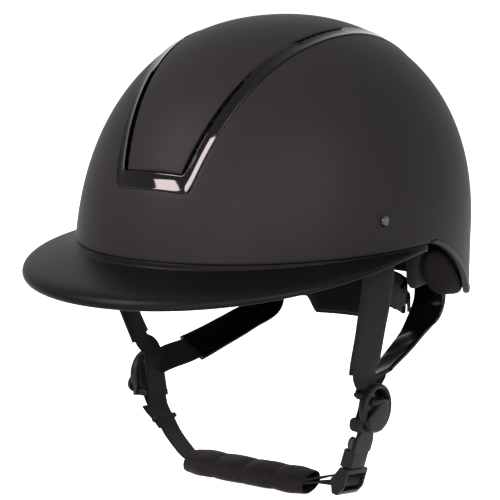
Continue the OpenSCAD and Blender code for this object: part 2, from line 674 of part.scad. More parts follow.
module chin_webbing() color("#17171a") harness_frame() difference() {
    union() {
        for (path = [chin_path, return_path])
            sweep(strap_sections(path, same([0, 1, 0], len(path)),
                same(webbing_width, len(path)), webbing));
        translate(far_bar) rotate([90, 0, 0])
            cylinder(h = webbing_width, r = loop_outer, center = true);
        translate(adjuster) rotate([90, 0, 0]) intersection() {
            cylinder(h = webbing_width, r = wrap + webbing / 2, center = true);
            translate([5 - 1.2, 0, 0]) cube([10, 20, webbing_width], center = true);
        }
    }
    translate(far_bar) rotate([90, 0, 0])
        cylinder(h = webbing_width + 2, r = bar_radius + running_gap, center = true);
    translate(adjuster) rotate([90, 0, 0])
        cylinder(h = webbing_width + 2, r = wrap - webbing / 2, center = true);
}

// Loose end of the webbing beside the keeper
module webbing_tail() color("#17171a") harness_frame() {
    path = [far_bar + [12.2, 0, -20.7], far_bar + [8, 0, -15.4], far_bar + [1.5, 0, -12.8],
        far_bar + [-6.6, 0, -12.9]];
    sweep(strap_sections(path, same([0, 1, 0], 4), same(webbing_width - 1, 4), webbing));
}

module webbing_keeper() color("#121214") harness_frame() {
    middle = far_bar + [9.1, 0, -14.9];
    slope = 48;
    translate(middle) rotate([0, slope, 0]) difference() {
        cube([6, webbing_width + 4, 8.6], center = true);
        cube([8, webbing_width + 1, 6.6], center = true);
    }
}

// Chin pad: a soft sleeve drawn in at each seam
pad_steps = 32;
pad_sides = 14;
seam_share = 0.88;
module chin_pad() {
    function swell(f) = let (s = f * chin_pad_segments)
        mix(seam_share, 1, pow(abs(sin(180 * (s - floor(s)))), 0.6));
    function mouth(f) = 1 - clamp(min(f, 1 - f) / 0.16, 0, 1);
    function ring(f, half_u, half_v, power) = let (x = pad_from + chin_pad_length * f)
        [for (k = [0:pad_sides - 1]) let (a = 360 * k / pad_sides)
            [x, half_u * spow(cos(a), power), chin_v + half_v * spow(sin(a), power)]];
    color("#231f20") harness_frame() hollow_sweep(
        [for (i = [0:pad_steps]) let (f = i / pad_steps, s = swell(f))
            ring(f, chin_pad_width / 2 * mix(1, s, 0.5), chin_pad_thickness / 2 * s, 0.8)],
        [for (i = [0:pad_steps]) let (f = i / pad_steps) ring(f, webbing_width / 2 + 0.7,
            mix(webbing + 0.5, chin_pad_thickness / 2 * seam_share - 1.2, mouth(f)), 0.3)]);
}

// Nape cradle: a curved band and a lower lobe, hung on arms from the temple pins
cradle_y = 15;
cradle_outer = cradle_radius + cradle_wall;
module arc_band(inner, outer, low, high, from, to) translate([0, cradle_y, 0]) rotate([0, 0, from])
    rotate_extrude(angle = to - from) translate([inner, low]) square([outer - inner, high - low]);
module lobed_band(inner, outer, low, high, from, to, lobe_from, lobe_high) difference() {
    arc_band(inner, outer, low, high, from, to);
    for (cut = [[from - 4, lobe_from], [180 - lobe_from, 184 - from]])
        arc_band(inner - 1, outer + 1, low - 1, lobe_high, cut[0], cut[1]);
}
module nape_cradle() color("#161a1a") lobed_band(cradle_radius, cradle_outer,
    dial_z - 18, dial_z + 17, 42, 138, 66, dial_z - 7);

// A band round the cradle's centre line through stations of angle, low edge and high edge
module band(inner, outer, stations) sweep([for (s = stations)
    [for (p = [[outer, s[2]], [outer, s[1]], [inner, s[1]], [inner, s[2]]])
        [p[0] * cos(s[0]), cradle_y + p[0] * sin(s[0]), p[1]]]]);
edge_step = 0.1;
module nape_pad() {
    high = dial_z + 15;
    shelf = dial_z - 6;
    low = dial_z - 16;
    from = 58;
    lobe = 70;
    color("#1e1e20") band(cradle_radius - 3.6, cradle_radius - seat_gap, concat(
        [for (a = [from:4:lobe - edge_step]) [a, shelf, high]], [[lobe - edge_step, shelf, high]],
        [for (a = [lobe:4:180 - lobe]) [a, low, high]], [[180 - lobe + edge_step, shelf, high]],
        [for (a = [184 - lobe:4:180 - from]) [a, shelf, high]]));
}

// Belts slide in this radial space, one rack over the pinion and one under it
belt_in = cradle_outer + seat_gap;
belt_out = belt_in + belt;
rack_tip = pinion_pitch - 0.45;
rack_root = pinion_pitch + 0.7;
rail_height = 2.6;
belt_half = rack_root + rail_height;
rack_pitch = 360 * pinion_pitch / pinion_teeth / ((belt_in + belt_out) / 2);
tooth_angle = 0.6;
belt_end = 24;
slim_to = 50;
rail_from = 66;
rack_from = 81.5;
rack_to = 98.5;
module belt_band(level) {
    shift = level > 0 ? 0 : 0.5;
    arc_step = 6;
    tooth_half = tooth_angle / 2;
    function edge(a, near) = [a, dial_z + (level > 0 ? near : -belt_half),
        dial_z + (level > 0 ? belt_half : -near)];
    color("#0f0f11") band(belt_in, belt_out, concat(
        [for (a = [belt_end:arc_step:rail_from]) [a, dial_z - (a < slim_to ? 0.5 : belt_half),
            dial_z + belt_half]],
        [for (a = [rail_from + edge_step:arc_step / 2:rack_from - 1]) edge(a, rack_root)],
        [for (k = [-4:4]) let (middle = 90 + (k + shift) * rack_pitch)
            each [edge(middle - tooth_half - edge_step, rack_root), edge(middle - tooth_half, rack_tip),
                edge(middle + tooth_half, rack_tip), edge(middle + tooth_half + edge_step, rack_root)]],
        [edge(rack_to + 1, rack_root)]));
}
module belt_left() belt_band(1);
module belt_right() mirror([1, 0, 0]) belt_band(-1);

housing_out = belt_out + seat_gap + 2.6;
module dial_housing() color("#1a1a1d") difference() {
    arc_band(cradle_outer + 0.1, housing_out, dial_z - belt_half - 3, dial_z + belt_half + 3, 73, 107);
    arc_band(cradle_outer - 1, belt_out + seat_gap, dial_z - belt_half - seat_gap,
        dial_z + belt_half + seat_gap, 60, 120);
    dial_axis(0) cylinder(h = 120, r = shaft_radius + running_gap);
}
shaft_radius = 2;
module dial_axis(y) translate([0, y, dial_z]) rotate([-90, 0, 0]) children();
dial_y = cradle_y + housing_out + seat_gap;
module dial_knob() color("#141416") dial_axis(dial_y) difference() {
    cylinder(h = dial_thickness, r = dial_radius);
    for (k = [0:17]) rotate([0, 0, k * 20]) translate([dial_radius + 0.9, 0, -1])
        cylinder(h = dial_thickness + 2, r = 1.9);
    translate([0, 0, -1]) cylinder(h = dial_thickness - 1, r = shaft_radius);
}
module dial_pinion() color("#d8d4cc") dial_axis(0) {
    translate([0, 0, cradle_y + belt_in]) linear_extrude(belt) {
        circle(r = pinion_pitch - 0.6);
        for (k = [0:pinion_teeth - 1]) rotate([0, 0, 90 + k * 360 / pinion_teeth])
            translate([pinion_pitch - 0.9, -0.4]) square([1.35, 0.8]);
    }
    translate([0, 0, cradle_y + belt_in]) cylinder(h = dial_y + dial_thickness - 2 - cradle_y - belt_in,
        r = shaft_radius);
}

// Temple pins and the arms that hang the cradle from them
temple = [shell_half_width - 33, -18, 20];
arm_plate = 2.2;
arm_boss = 6;
module temple_bore(side) translate([side * (temple.x + 18), temple.y, temple.z]) rotate([0, 90, 0])
    cylinder(h = 30, r = temple_pin, center = true);
module cradle_arm(side) mirror([side < 0 ? 1 : 0, 0, 0]) difference() {
    union() {
        arc_band(cradle_radius, cradle_outer, dial_z + 5, dial_z + 17, 10, 41.5);
        hull() {
            translate([cradle_radius + 0.6, 26, dial_z + 11]) rotate([0, 90, 0])
                cylinder(h = arm_plate, r = arm_boss, $fn = 32);
            translate(temple) rotate([0, 90, 0]) cylinder(h = arm_plate, r = arm_boss, $fn = 32);
        }
    }
    translate([temple.x - arm_boss, temple.y, temple.z]) rotate([0, 90, 0]) {
        cylinder(h = 2 * arm_boss, r = temple_pin + running_gap);
        cylinder(h = arm_boss, r = temple_pin + 2.4);
    }
}
module cradle_arm_left() color("#1c1c1f") cradle_arm(1);
module cradle_arm_right() color("#1c1c1f") cradle_arm(-1);
module temple_pins() color("#8a8a90") for (side = [0, 1]) mirror([side, 0, 0])
    translate([temple.x - 1.8, temple.y, temple.z]) rotate([0, 90, 0]) {
        cylinder(h = 14, r = temple_pin);
        cylinder(h = 1.2, r = temple_pin + 2);
    }

outer_shell();
centre_panel();
trim_frame();
vent_grilles();
brim();
edge_bead();
shock_liner();
comfort_liner();
crown_pad();
neck_pad();
anchor_rivets();
front_strap_left();
front_strap_right();
rear_strap_left();
rear_strap_right();
front_sleeve_left();
front_sleeve_right();
rear_sleeve_left();
rear_sleeve_right();
divider_left();
divider_right();
cam_lever_left();
cam_lever_right();
lever_pin_left();
lever_pin_right();
buckle_socket();
buckle_insert();
prong_front();
prong_rear();
adjuster_bar();
chin_webbing();
webbing_tail();
webbing_keeper();
chin_pad();
nape_cradle();
nape_pad();
dial_housing();
dial_knob();
dial_pinion();
belt_left();
belt_right();
cradle_arm_left();
cradle_arm_right();
temple_pins();
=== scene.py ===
# %% [markdown]
# # A riding helmet, dressed piece by piece
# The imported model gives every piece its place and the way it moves. This lesson makes the looks:
# smooth surfaces, sewn soft parts and procedural finishes. Sizes are in millimetres in the
# formulas and become metres when a mesh is made. The wearer looks along -Y, and +X is the
# wearer's left, where the buckle is.

# %% The frame
import math

import bpy
import bmesh
import numpy as np
from mathutils import Matrix, Vector


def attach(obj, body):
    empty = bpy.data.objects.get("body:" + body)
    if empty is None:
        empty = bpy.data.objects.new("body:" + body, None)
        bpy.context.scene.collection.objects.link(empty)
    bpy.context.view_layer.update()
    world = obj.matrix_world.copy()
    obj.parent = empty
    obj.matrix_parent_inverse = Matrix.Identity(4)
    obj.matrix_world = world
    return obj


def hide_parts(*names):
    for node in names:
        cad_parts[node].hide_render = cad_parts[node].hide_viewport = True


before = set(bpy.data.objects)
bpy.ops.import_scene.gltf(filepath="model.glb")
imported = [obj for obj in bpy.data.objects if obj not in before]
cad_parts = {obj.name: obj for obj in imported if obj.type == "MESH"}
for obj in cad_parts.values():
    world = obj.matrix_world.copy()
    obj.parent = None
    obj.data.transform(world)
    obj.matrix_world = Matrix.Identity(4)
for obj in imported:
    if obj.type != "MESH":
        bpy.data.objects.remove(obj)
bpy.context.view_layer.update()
scene = bpy.context.scene
MM = 0.001

# %% [markdown]
# ## Camera
# The helmet is seen from its left front and a little from above, through a long lens. The camera
# is placed by its direction and its distance, and it is turned a touch about its own axis, which
# a Track To constraint couldn't do. The aim is a point in the picture plane through the origin.

# %% Camera
SHOT = {"azimuth": 36.179, "elevation": 9.973, "roll": -0.742, "distance": 1323.08,
        "lens": 155.96, "aim": (-12.73, -3.43)}


def place_camera(shot):
    az, el, roll = (math.radians(shot[k]) for k in ("azimuth", "elevation", "roll"))
    back = Vector((math.sin(az) * math.cos(el), -math.cos(az) * math.cos(el), math.sin(el)))
    right = Vector((math.cos(az), math.sin(az), 0))
    up = back.cross(right)
    across = math.cos(roll) * right + math.sin(roll) * up
    over_head = back.cross(across)
    target = right * shot["aim"][0] + up * shot["aim"][1]
    lens = bpy.data.cameras.new("camera")
    lens.lens, lens.sensor_width = shot["lens"], 36
    camera = bpy.data.objects.new("camera", lens)
    scene.collection.objects.link(camera)
    turn = Matrix((across, over_head, back)).transposed().to_4x4()
    camera.matrix_world = Matrix.Translation((target + back * shot["distance"]) * MM) @ turn
    lens.clip_start, lens.clip_end = 0.05, 50
    return camera


scene.camera = place_camera(SHOT)
print("camera at", [round(x, 3) for x in scene.camera.location])

# %% [markdown]
# ## Nodes in one line
# Materials, the world and the repeated shapes are all node trees. One helper makes a node, sets
# its options and fills its inputs with values or with links from other nodes.

# %% Node helpers
def wired(tree, kind, inputs=None, **options):
    node = tree.nodes.new(kind)
    for name, value in options.items():
        setattr(node, name, value)
    for slot, value in (inputs or {}).items():
        if isinstance(value, bpy.types.NodeSocket):
            tree.links.new(value, node.inputs[slot])
        else:
            node.inputs[slot].default_value = value
    return node


def math_node(tree, operation, *values, clamp=False):
    return wired(tree, "ShaderNodeMath", dict(enumerate(values)), operation=operation,
                 use_clamp=clamp).outputs[0]


def noise(tree, vector, scale, detail, rough):
    return wired(tree, "ShaderNodeTexNoise", {"Detail": detail, "Roughness": rough,
                                              "Scale": scale, "Vector": vector}).outputs["Fac"]


def either(tree, factor, first, second):
    """A mix of two shaders: the first where the factor is 0, the second where it is 1."""
    return wired(tree, "ShaderNodeMixShader",
                 {"Fac": factor, 1: first.outputs[0], 2: second.outputs[0]})


print("node helpers ready")

# %% [markdown]
# ## Studio
# A product picture like this has a white surround. Here the floor and the world look white to
# the camera only, through Light Path, so that the dark helmet isn't flooded with light. From
# below the floor is clear, so that the underside can be looked at. The key lamp stands high on
# the wearer's right and gives the bright patch on the polished frame. Soft lamps fill the front
# and the side.

# %% Studio
WHITE = (1, 1, 1, 1)
FLOOR_Z, FLOOR_SIZE = -0.150, 12
scene.view_settings.view_transform = "Standard"


def direct_rays(tree):
    """1 for rays from the camera, and for those that a mirror or glass sends on."""
    path = wired(tree, "ShaderNodeLightPath").outputs
    seen = path["Is Camera Ray"]
    for kind in ("Is Glossy Ray", "Is Transmission Ray"):
        seen = math_node(tree, "MAXIMUM", seen, path[kind])
    return seen


def make_world():
    """White to the camera, mirrors and glass, and a faint warm light for everything else."""
    world = bpy.data.worlds.new("studio")
    world.use_nodes = True
    tree = world.node_tree
    tree.nodes.clear()
    lit = wired(tree, "ShaderNodeBackground", {"Color": (1.0, 0.97, 0.97, 1), "Strength": 0.04})
    pure = wired(tree, "ShaderNodeBackground", {"Color": WHITE})
    surround = either(tree, direct_rays(tree), lit, pure)
    wired(tree, "ShaderNodeOutputWorld", {"Surface": surround.outputs[0]})
    return world


def new_material(name):
    """A material with its tree and its Principled shader."""
    material = bpy.data.materials.new(name)
    material.use_nodes = True
    return material, material.node_tree, material.node_tree.nodes["Principled BSDF"]


def floor_material():
    material, tree, shade = new_material("floor_white")
    shade.inputs["Base Color"].default_value = (0.88, 0.88, 0.88, 1)
    shade.inputs["Roughness"].default_value = 0.9
    glow = wired(tree, "ShaderNodeEmission", {"Color": WHITE, "Strength": 1.0})
    bright = wired(tree, "ShaderNodeAddShader", {0: shade.outputs[0], 1: glow.outputs[0]})
    seen = either(tree, direct_rays(tree), shade, bright)
    behind = wired(tree, "ShaderNodeNewGeometry").outputs["Backfacing"]
    result = either(tree, behind, seen, wired(tree, "ShaderNodeBsdfTransparent"))
    tree.links.new(result.outputs[0], tree.nodes["Material Output"].inputs["Surface"])
    return material


def lamp(name, at, aim, size, power, color):
    """An area lamp with its width and height in metres and its power in watts."""
    light = bpy.data.lights.new(name, "AREA")
    light.shape = "RECTANGLE"
    light.size, light.size_y = size
    light.energy, light.color = power, color
    piece = bpy.data.objects.new(name, light)
    scene.collection.objects.link(piece)
    piece.location = at
    piece.rotation_euler = (Vector(at) - Vector(aim)).to_track_quat("Z", "Y").to_euler()


scene.world = make_world()
bpy.ops.mesh.primitive_plane_add(size=FLOOR_SIZE, location=(0, 0, FLOOR_Z))
floor = bpy.context.object
floor.name = "floor"
floor.data.materials.append(floor_material())
lamp("key", (-0.62, -1.14, 1.05), (0, -0.1, 0.05), (0.46, 0.76), 43, (1.0, 0.94, 0.92))
lamp("front", (0.3, -1.8, 0.1), (0, 0, 0.03), (0.7, 0.7), 12, (1.0, 0.95, 0.95))
lamp("fill", (1.0, -1.5, 0.75), (0, 0, 0.03), (0.9, 0.9), 27, (1.0, 0.94, 0.97))
lamp("side", (1.8, -0.5, 0.9), (0, 0, 0.02), (1.0, 1.0), 46, (0.97, 0.93, 1.0))

# %% [markdown]
# ## Finishes
# Everything on this helmet is black, so the finishes differ by their gloss and their fine relief:
# soft-touch paint, mirror chrome, ribbed webbing, patent strap sleeves, grained leather. An
# effect that several finishes share is a node group with named inputs, built once. The groups
# put out heights, masks and values; each material keeps its own Principled shader.

# %% Building node groups
def node_group(name, inputs, outputs, build):
    """inputs are defaults by label, None for a vector; build gives the outputs' sockets."""
    group = bpy.data.node_groups.new(name, "ShaderNodeTree")
    for label, value in inputs.items():
        kind = "NodeSocketVector" if value is None else "NodeSocketFloat"
        socket = group.interface.new_socket(label, in_out="INPUT", socket_type=kind)
        if value is not None:
            socket.default_value = value
    for label in outputs:
        group.interface.new_socket(label, in_out="OUTPUT", socket_type="NodeSocketFloat")
    made = build(group, group.nodes.new("NodeGroupInput").outputs)
    wired(group, "NodeGroupOutput", dict(zip(outputs, made)))
    return group


def masked_nodes(tree, mask, pattern, amount):
    """The one output of an effect that shows where both its mask and its pattern do."""
    return (math_node(tree, "MULTIPLY", math_node(tree, "MULTIPLY", mask, pattern), amount),)


print("group helpers ready")

# %% [markdown]
# ### Grain, dust and edge wear
# Soft-touch paint and moulded plastic have a very fine grain and slow, cloudy changes of gloss
# from handling. Dust settles on faces that look up. Edges polish where they rub, and Pointiness
# finds those edges on a mesh.

# %% Grain, dust and edge wear groups
def grain_nodes(tree, given):
    return (noise(tree, given["Vector"], given["Scale"], 3.0, 0.6),
            noise(tree, given["Vector"], given["Cloud Scale"], 3.0, 0.55))


def dust_nodes(tree, given):
    normal = wired(tree, "ShaderNodeNewGeometry").outputs["Normal"]
    height = wired(tree, "ShaderNodeSeparateXYZ", {0: normal}).outputs["Z"]
    up = math_node(tree, "MULTIPLY", math_node(tree, "MAXIMUM", height, 0.0), 0.8)
    specks = noise(tree, given["Vector"], 900.0, 4.0, 0.7)
    sparse = math_node(tree, "MULTIPLY_ADD", specks, 6.0, -3.4, clamp=True)
    return masked_nodes(tree, up, sparse, given["Amount"])


def wear_nodes(tree, given):
    sharp = wired(tree, "ShaderNodeNewGeometry").outputs["Pointiness"]
    edge = math_node(tree, "MULTIPLY_ADD", sharp, 9.0, -4.75, clamp=True)
    broken = noise(tree, given["Vector"], 260.0, 4.0, 0.6)
    patchy = math_node(tree, "MULTIPLY_ADD", broken, 2.2, -0.6, clamp=True)
    return masked_nodes(tree, edge, patchy, given["Amount"])


grain = node_group("fine_grain", {"Vector": None, "Scale": 1500.0, "Cloud Scale": 18.0},
                   ("Height", "Cloud"), grain_nodes)
dust = node_group("settled_dust", {"Vector": None, "Amount": 0.1}, ("Mask",), dust_nodes)
wear = node_group("edge_wear", {"Vector": None, "Amount": 0.3}, ("Mask",), wear_nodes)
print("groups:", [g.name for g in (grain, dust, wear)])

# %% [markdown]
# ### Woven webbing, knit mesh and leather
# Webbing has cords that run along it, crossed by fine weft threads. The pattern reads the strap's
# own UV map, whose units are metres along and across, so the ribs stay the same size on every
# strap. Leather is a field of small rounded cells, which a Voronoi distance gives.

# %% Weave and leather groups
def weave_nodes(tree, given):
    split = wired(tree, "ShaderNodeSeparateXYZ", {0: given["Vector"]}).outputs
    across = math_node(tree, "DIVIDE", split["Y"], given["Rib"])
    along = math_node(tree, "DIVIDE", split["X"], given["Thread"])
    half = math_node(tree, "MULTIPLY", math_node(tree, "FLOOR", across), 0.5)
    wave = math_node(tree, "SINE", math_node(tree, "MULTIPLY", across, math.pi))
    rib = math_node(tree, "ABSOLUTE", wave)
    turned = math_node(tree, "MULTIPLY", math_node(tree, "ADD", along, half), 2 * math.pi)
    cross = math_node(tree, "SINE", turned)
    height = math_node(tree, "MULTIPLY_ADD", cross, 0.22, math_node(tree, "MULTIPLY", rib, 0.75))
    # The second output marks the valleys between the ribs, where the finish paints shade into the
    # colour.
    return height, math_node(tree, "SUBTRACT", 1.0, rib, clamp=True)


def leather_nodes(tree, given):
    cells = wired(tree, "ShaderNodeTexVoronoi",
                  {"Vector": given["Vector"], "Scale": given["Scale"]}, feature="DISTANCE_TO_EDGE")
    bump = math_node(tree, "MULTIPLY", cells.outputs["Distance"], 2.6, clamp=True)
    soft = noise(tree, given["Vector"], 70.0, 3.0, 0.6)
    height = math_node(tree, "MULTIPLY_ADD", soft, 0.8, math_node(tree, "MULTIPLY", bump, 0.6))
    # The second output marks the creases between the cells, where the finish paints shade into the
    # colour.
    return height, math_node(tree, "SUBTRACT", 1.0, bump, clamp=True)


weave = node_group("ribbed_weave", {"Vector": None, "Rib": 0.0011, "Thread": 0.0007},
                   ("Height", "Valley Shade"), weave_nodes)
leather = node_group("leather_grain", {"Vector": None, "Scale": 900.0}, ("Height", "Crease Shade"),
                     leather_nodes)
print("groups:", [g.name for g in (weave, leather)])

# %% [markdown]
# ### One recipe for every finish
# A finish is a Principled shader with a base colour, a roughness that drifts with the cloudy
# grain, and a Bump node fed by the relief that fits it. Sheen, coat and specular level are the
# same all over a piece, so they are set on the shader itself.

# %% The finish recipe
def relief_input(tree, kind, vector, size):
    """The group that gives a finish its relief, as (height output, groove mask for painted shade).
    """
    sizes = {"Rib": size[0], "Thread": size[1]} if kind == "weave" else {"Scale": size}
    group, line = {"grain": (grain, "Cloud"), "weave": (weave, "Valley Shade"),
                   "leather": (leather, "Crease Shade")}[kind]
    node = wired(tree, "ShaderNodeGroup", node_tree=group)
    tree.links.new(vector, node.inputs["Vector"])
    for label, value in sizes.items():
        node.inputs[label].default_value = value
    return node.outputs["Height"], node.outputs[line]


def blend_color(tree, shown, color, mask):
    mixed = wired(tree, "ShaderNodeMix", data_type="RGBA")
    tree.links.new(shown, mixed.inputs["A"])
    mixed.inputs["B"].default_value = (*color, 1)
    tree.links.new(mask, mixed.inputs["Factor"])
    return mixed.outputs["Result"]


def masked(tree, group, place, amount):
    node = wired(tree, "ShaderNodeGroup", node_tree=group)
    tree.links.new(place, node.inputs["Vector"])
    node.inputs["Amount"].default_value = amount
    return node.outputs["Mask"]


def finish(name, color, rough, relief="grain", size=1500.0, depth=0.00002, drift=0.08, worn=0.0,
           dusty=0.0, metal=0.0, sheen=0.0, coat=0.0, coat_rough=0.1, groove_shade=0.0,
           worn_color=(0.03, 0.03, 0.03), specular=0.05):
    material, tree, shade = new_material(name)
    place = wired(tree, "ShaderNodeTexCoord").outputs
    own = place["UV"] if relief == "weave" else place["Object"]
    height, line = relief_input(tree, relief, own, size)
    clouds = wired(tree, "ShaderNodeGroup", node_tree=grain)
    tree.links.new(place["Object"], clouds.inputs["Vector"])
    cloud = clouds.outputs["Cloud"]
    tint = wired(tree, "ShaderNodeMix", data_type="RGBA")
    tint.inputs["A"].default_value = (*[c * 0.88 for c in color], 1)
    tint.inputs["B"].default_value = (*[min(1, c * 1.12) for c in color], 1)
    tree.links.new(cloud, tint.inputs["Factor"])
    shown = tint.outputs["Result"]
    # Painted shade: the relief's grooves (weave valleys, leather creases, foam and knit cell edges)
    # get a darker base colour.
    if groove_shade:
        groove_shade_mask = math_node(tree, "MULTIPLY", line, groove_shade)
        shown = blend_color(tree, shown, [c * 0.3 for c in color], groove_shade_mask)
    if worn:
        shown = blend_color(tree, shown, worn_color, masked(tree, wear, place["Object"], worn))
    if dusty:
        dusted = masked(tree, dust, place["Object"], dusty)
        shown = blend_color(tree, shown, (0.3, 0.29, 0.28), dusted)
    tree.links.new(shown, shade.inputs["Base Color"])
    drifting = math_node(tree, "MULTIPLY_ADD", cloud, drift, rough - drift / 2, clamp=True)
    tree.links.new(drifting, shade.inputs["Roughness"])
    if depth:
        bump = wired(tree, "ShaderNodeBump", {"Distance": depth, "Strength": 1.0, "Height": height})
        tree.links.new(bump.outputs["Normal"], shade.inputs["Normal"])
    for socket, value in (("Metallic", metal), ("Sheen Weight", sheen), ("Coat Weight", coat),
                          ("Coat Roughness", coat_rough), ("Specular IOR Level", specular)):
        shade.inputs[socket].default_value = value
    return material


print("finish recipe ready")

# %% [markdown]
# ### The finishes
# Colours are linear values. The paint is a very dark warm grey, not pure black, because matte
# paint scatters some light. The chrome is a dark mirror: metallic, with a low base colour.

# %% The finishes
paint = finish("shell_paint", (0.0112, 0.0101, 0.0108), 0.46, depth=0.000012, drift=0.05,
               dusty=0.03, specular=0.03)
brim_paint = finish("brim_paint", (0.0019, 0.0017, 0.0019), 0.4, depth=0.000012, drift=0.05,
                    dusty=0.01, worn=0.03, worn_color=(0.03, 0.028, 0.03), specular=0.045)
chrome = finish("black_chrome", (0.0185, 0.0165, 0.0172), 0.06, depth=0.0, drift=0.02, metal=1.0,
                specular=0.1)
slot_black = finish("vent_plastic", (0.003, 0.003, 0.0034), 0.45)
edging = finish("edge_rubber", (0.009, 0.0084, 0.0092), 0.38, depth=0.00001, drift=0.06,
                specular=0.06)
# The foam, knit, leather, webbing and nape cloth finishes below darken their grooves as painted
# shade.
foam = finish("bead_foam", (0.005, 0.005, 0.0055), 0.75, "leather", 260.0, 0.0002, groove_shade=0.6)
mesh_cloth = finish("lining_knit", (0.006, 0.006, 0.0068), 0.85, "leather", 620.0, 0.0002,
                    sheen=0.06, groove_shade=0.5)
neck_leather = finish("neck_leather", (0.0075, 0.0061, 0.0058), 0.55, "leather", 1100.0, 0.00012,
                      groove_shade=0.3, specular=0.004)
webbing_cloth = finish("webbing", (0.0046, 0.0046, 0.005), 0.62, "weave", (0.0011, 0.0008),
                       0.00022, sheen=0.03, groove_shade=0.6)
sleeve_matte = finish("sleeve_matte", (0.0042, 0.0036, 0.0042), 0.55, "leather", 1500.0, 0.00005,
                      sheen=0.03, specular=0.04)
sleeve_patent = finish("sleeve_patent", (0.0018, 0.0018, 0.002), 0.3, depth=0.00001, coat=0.22,
                       coat_rough=0.13, specular=0.03)
chin_leather = finish("chin_leather", (0.0066, 0.0049, 0.0054), 0.58, "leather", 1300.0, 0.0001,
                      sheen=0.03, groove_shade=0.2, specular=0.04)
buckle_plastic = finish("buckle_plastic", (0.0052, 0.0047, 0.0053), 0.40, size=2200.0, worn=0.35,
                        worn_color=(0.03, 0.026, 0.026), specular=0.08)
lever_plastic = finish("lever_plastic", (0.0046, 0.0042, 0.0051), 0.38, size=2200.0, worn=0.3,
                       worn_color=(0.04, 0.038, 0.04), specular=0.08)
prong_plastic = finish("prong_plastic", (0.017, 0.013, 0.0125), 0.34, size=2200.0, worn=0.4,
                       worn_color=(0.08, 0.062, 0.056), specular=0.12)
cradle_plastic = finish("cradle_plastic", (0.003, 0.0036, 0.0038), 0.5, size=1800.0, worn=0.1)
nape_cloth = finish("nape_cloth", (0.0036, 0.0045, 0.0049), 0.85, "leather", 620.0, 0.0001,
                    sheen=0.03, groove_shade=0.3, specular=0.04)
dial_plastic = finish("dial_plastic", (0.005, 0.005, 0.0056), 0.42, size=1800.0, depth=0.00003,
                      worn=0.35, worn_color=(0.04, 0.04, 0.04), specular=0.1)
pinion_plastic = finish("pinion_plastic", (0.3, 0.29, 0.265), 0.4, size=1800.0, depth=0.00001,
                        specular=0.1)
steel = finish("pin_steel", (0.2, 0.2, 0.21), 0.3, size=900.0, depth=0.00001, metal=1.0,
               drift=0.15, specular=0.1)
rivet_gloss = finish("rivet_gloss", (0.004, 0.004, 0.0045), 0.16, depth=0.0, coat=0.5,
                     specular=0.1)
thread = finish("sewing_thread", (0.009, 0.0085, 0.009), 0.6, depth=0.0, sheen=0.05)
print("materials:", len(bpy.data.materials))

# %% [markdown]
# ## Meshes from rows of points
# Most of this helmet is swept or gridded: a ring of points moves along a path, or rows of points
# cover a surface. One loft function makes the swept pieces, closed at their ends, with a UV map
# whose units are metres along and round the piece. Grids use the same faces and the same map.

# %% Loft helpers
def through_bmesh(mesh, change):
    work = bmesh.new()
    work.from_mesh(mesh)
    change(work)
    work.to_mesh(mesh)
    work.free()


def face_outwards(work):
    bmesh.ops.recalc_face_normals(work, faces=work.faces)


def new_piece(name, points, faces, material, uv=None):
    mesh = bpy.data.meshes.new(name)
    mesh.from_pydata([tuple(p) for p in np.asarray(points, float) * MM], [], faces)
    if uv is not None:
        layer = mesh.uv_layers.new(name="UVMap")
        corner = np.zeros(len(mesh.loops), int)
        mesh.loops.foreach_get("vertex_index", corner)
        corner_uv = (np.asarray(uv, float) * MM)[corner]
        layer.data.foreach_set("uv", corner_uv.astype(np.float32).ravel())
    piece = bpy.data.objects.new(name, mesh)
    scene.collection.objects.link(piece)
    mesh.materials.append(material)
    through_bmesh(mesh, face_outwards)
    for face in mesh.polygons:
        face.use_smooth = True
    return piece


def put(piece, body, slot, *nodes):
    """Let a piece ride on its body and hide the solids that it stands for; slot is not used."""
    if nodes:
        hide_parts(*nodes)
    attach(piece, body)
    return piece


def grid_faces(rows, columns, around, first=0, closed=False):
    """Quads between rows of points; around joins each row's ends, closed joins the last row."""
    last = columns if around else columns - 1
    return [(first + i * columns + j, first + i * columns + (j + 1) % columns,
             first + (i + 1) % rows * columns + (j + 1) % columns,
             first + (i + 1) % rows * columns + j)
            for i in range(rows if closed else rows - 1) for j in range(last)]


def grid_uv(rows):
    """Distances along the rows and round each ring, in millimetres."""
    rows = np.asarray(rows, float)
    middles = np.diff(rows.mean(1), axis=0)
    along = np.concatenate([[0], np.cumsum(np.linalg.norm(middles, axis=1))])
    steps = np.linalg.norm(np.diff(rows, axis=1), axis=2)
    across = np.concatenate([np.zeros((len(rows), 1)), np.cumsum(steps, axis=1)], axis=1)
    return np.stack([np.broadcast_to(along[:, None], across.shape), across], 2).reshape(-1, 2)


def loft(name, rings, material):
    """A closed bar through rings of points, all with the same count."""
    rings = np.asarray(rings, float)
    count, sides = rings.shape[:2]
    faces = grid_faces(count, sides, True)
    faces += [tuple(range(sides)), tuple((count - 1) * sides + k for k in range(sides))]
    return new_piece(name, rings.reshape(-1, 3), faces, material, grid_uv(rings))


def spline_at(points, t, closed=False):
    """Catmull-Rom through rows of numbers, at parameters t."""
    p, t = np.asarray(points, float), np.asarray(t)
    n = len(p)
    i = np.clip(t.astype(int), 0, n - 1 if closed else n - 2)
    f = (t - i)[:, None]
    a, b, c, d = (p[(i + k) % n if closed else np.clip(i + k, 0, n - 1)] for k in (-1, 0, 1, 2))
    return 0.5 * (2 * b + (c - a) * f + (2 * a - 5 * b + 4 * c - d) * f ** 2
                  + (3 * b - a - 3 * c + d) * f ** 3)


def smooth_path(points, count, closed=False):
    """The same spline at even steps."""
    n = len(points)
    t = np.linspace(0, n if closed else n - 1, count, endpoint=not closed)
    return spline_at(points, t, closed)


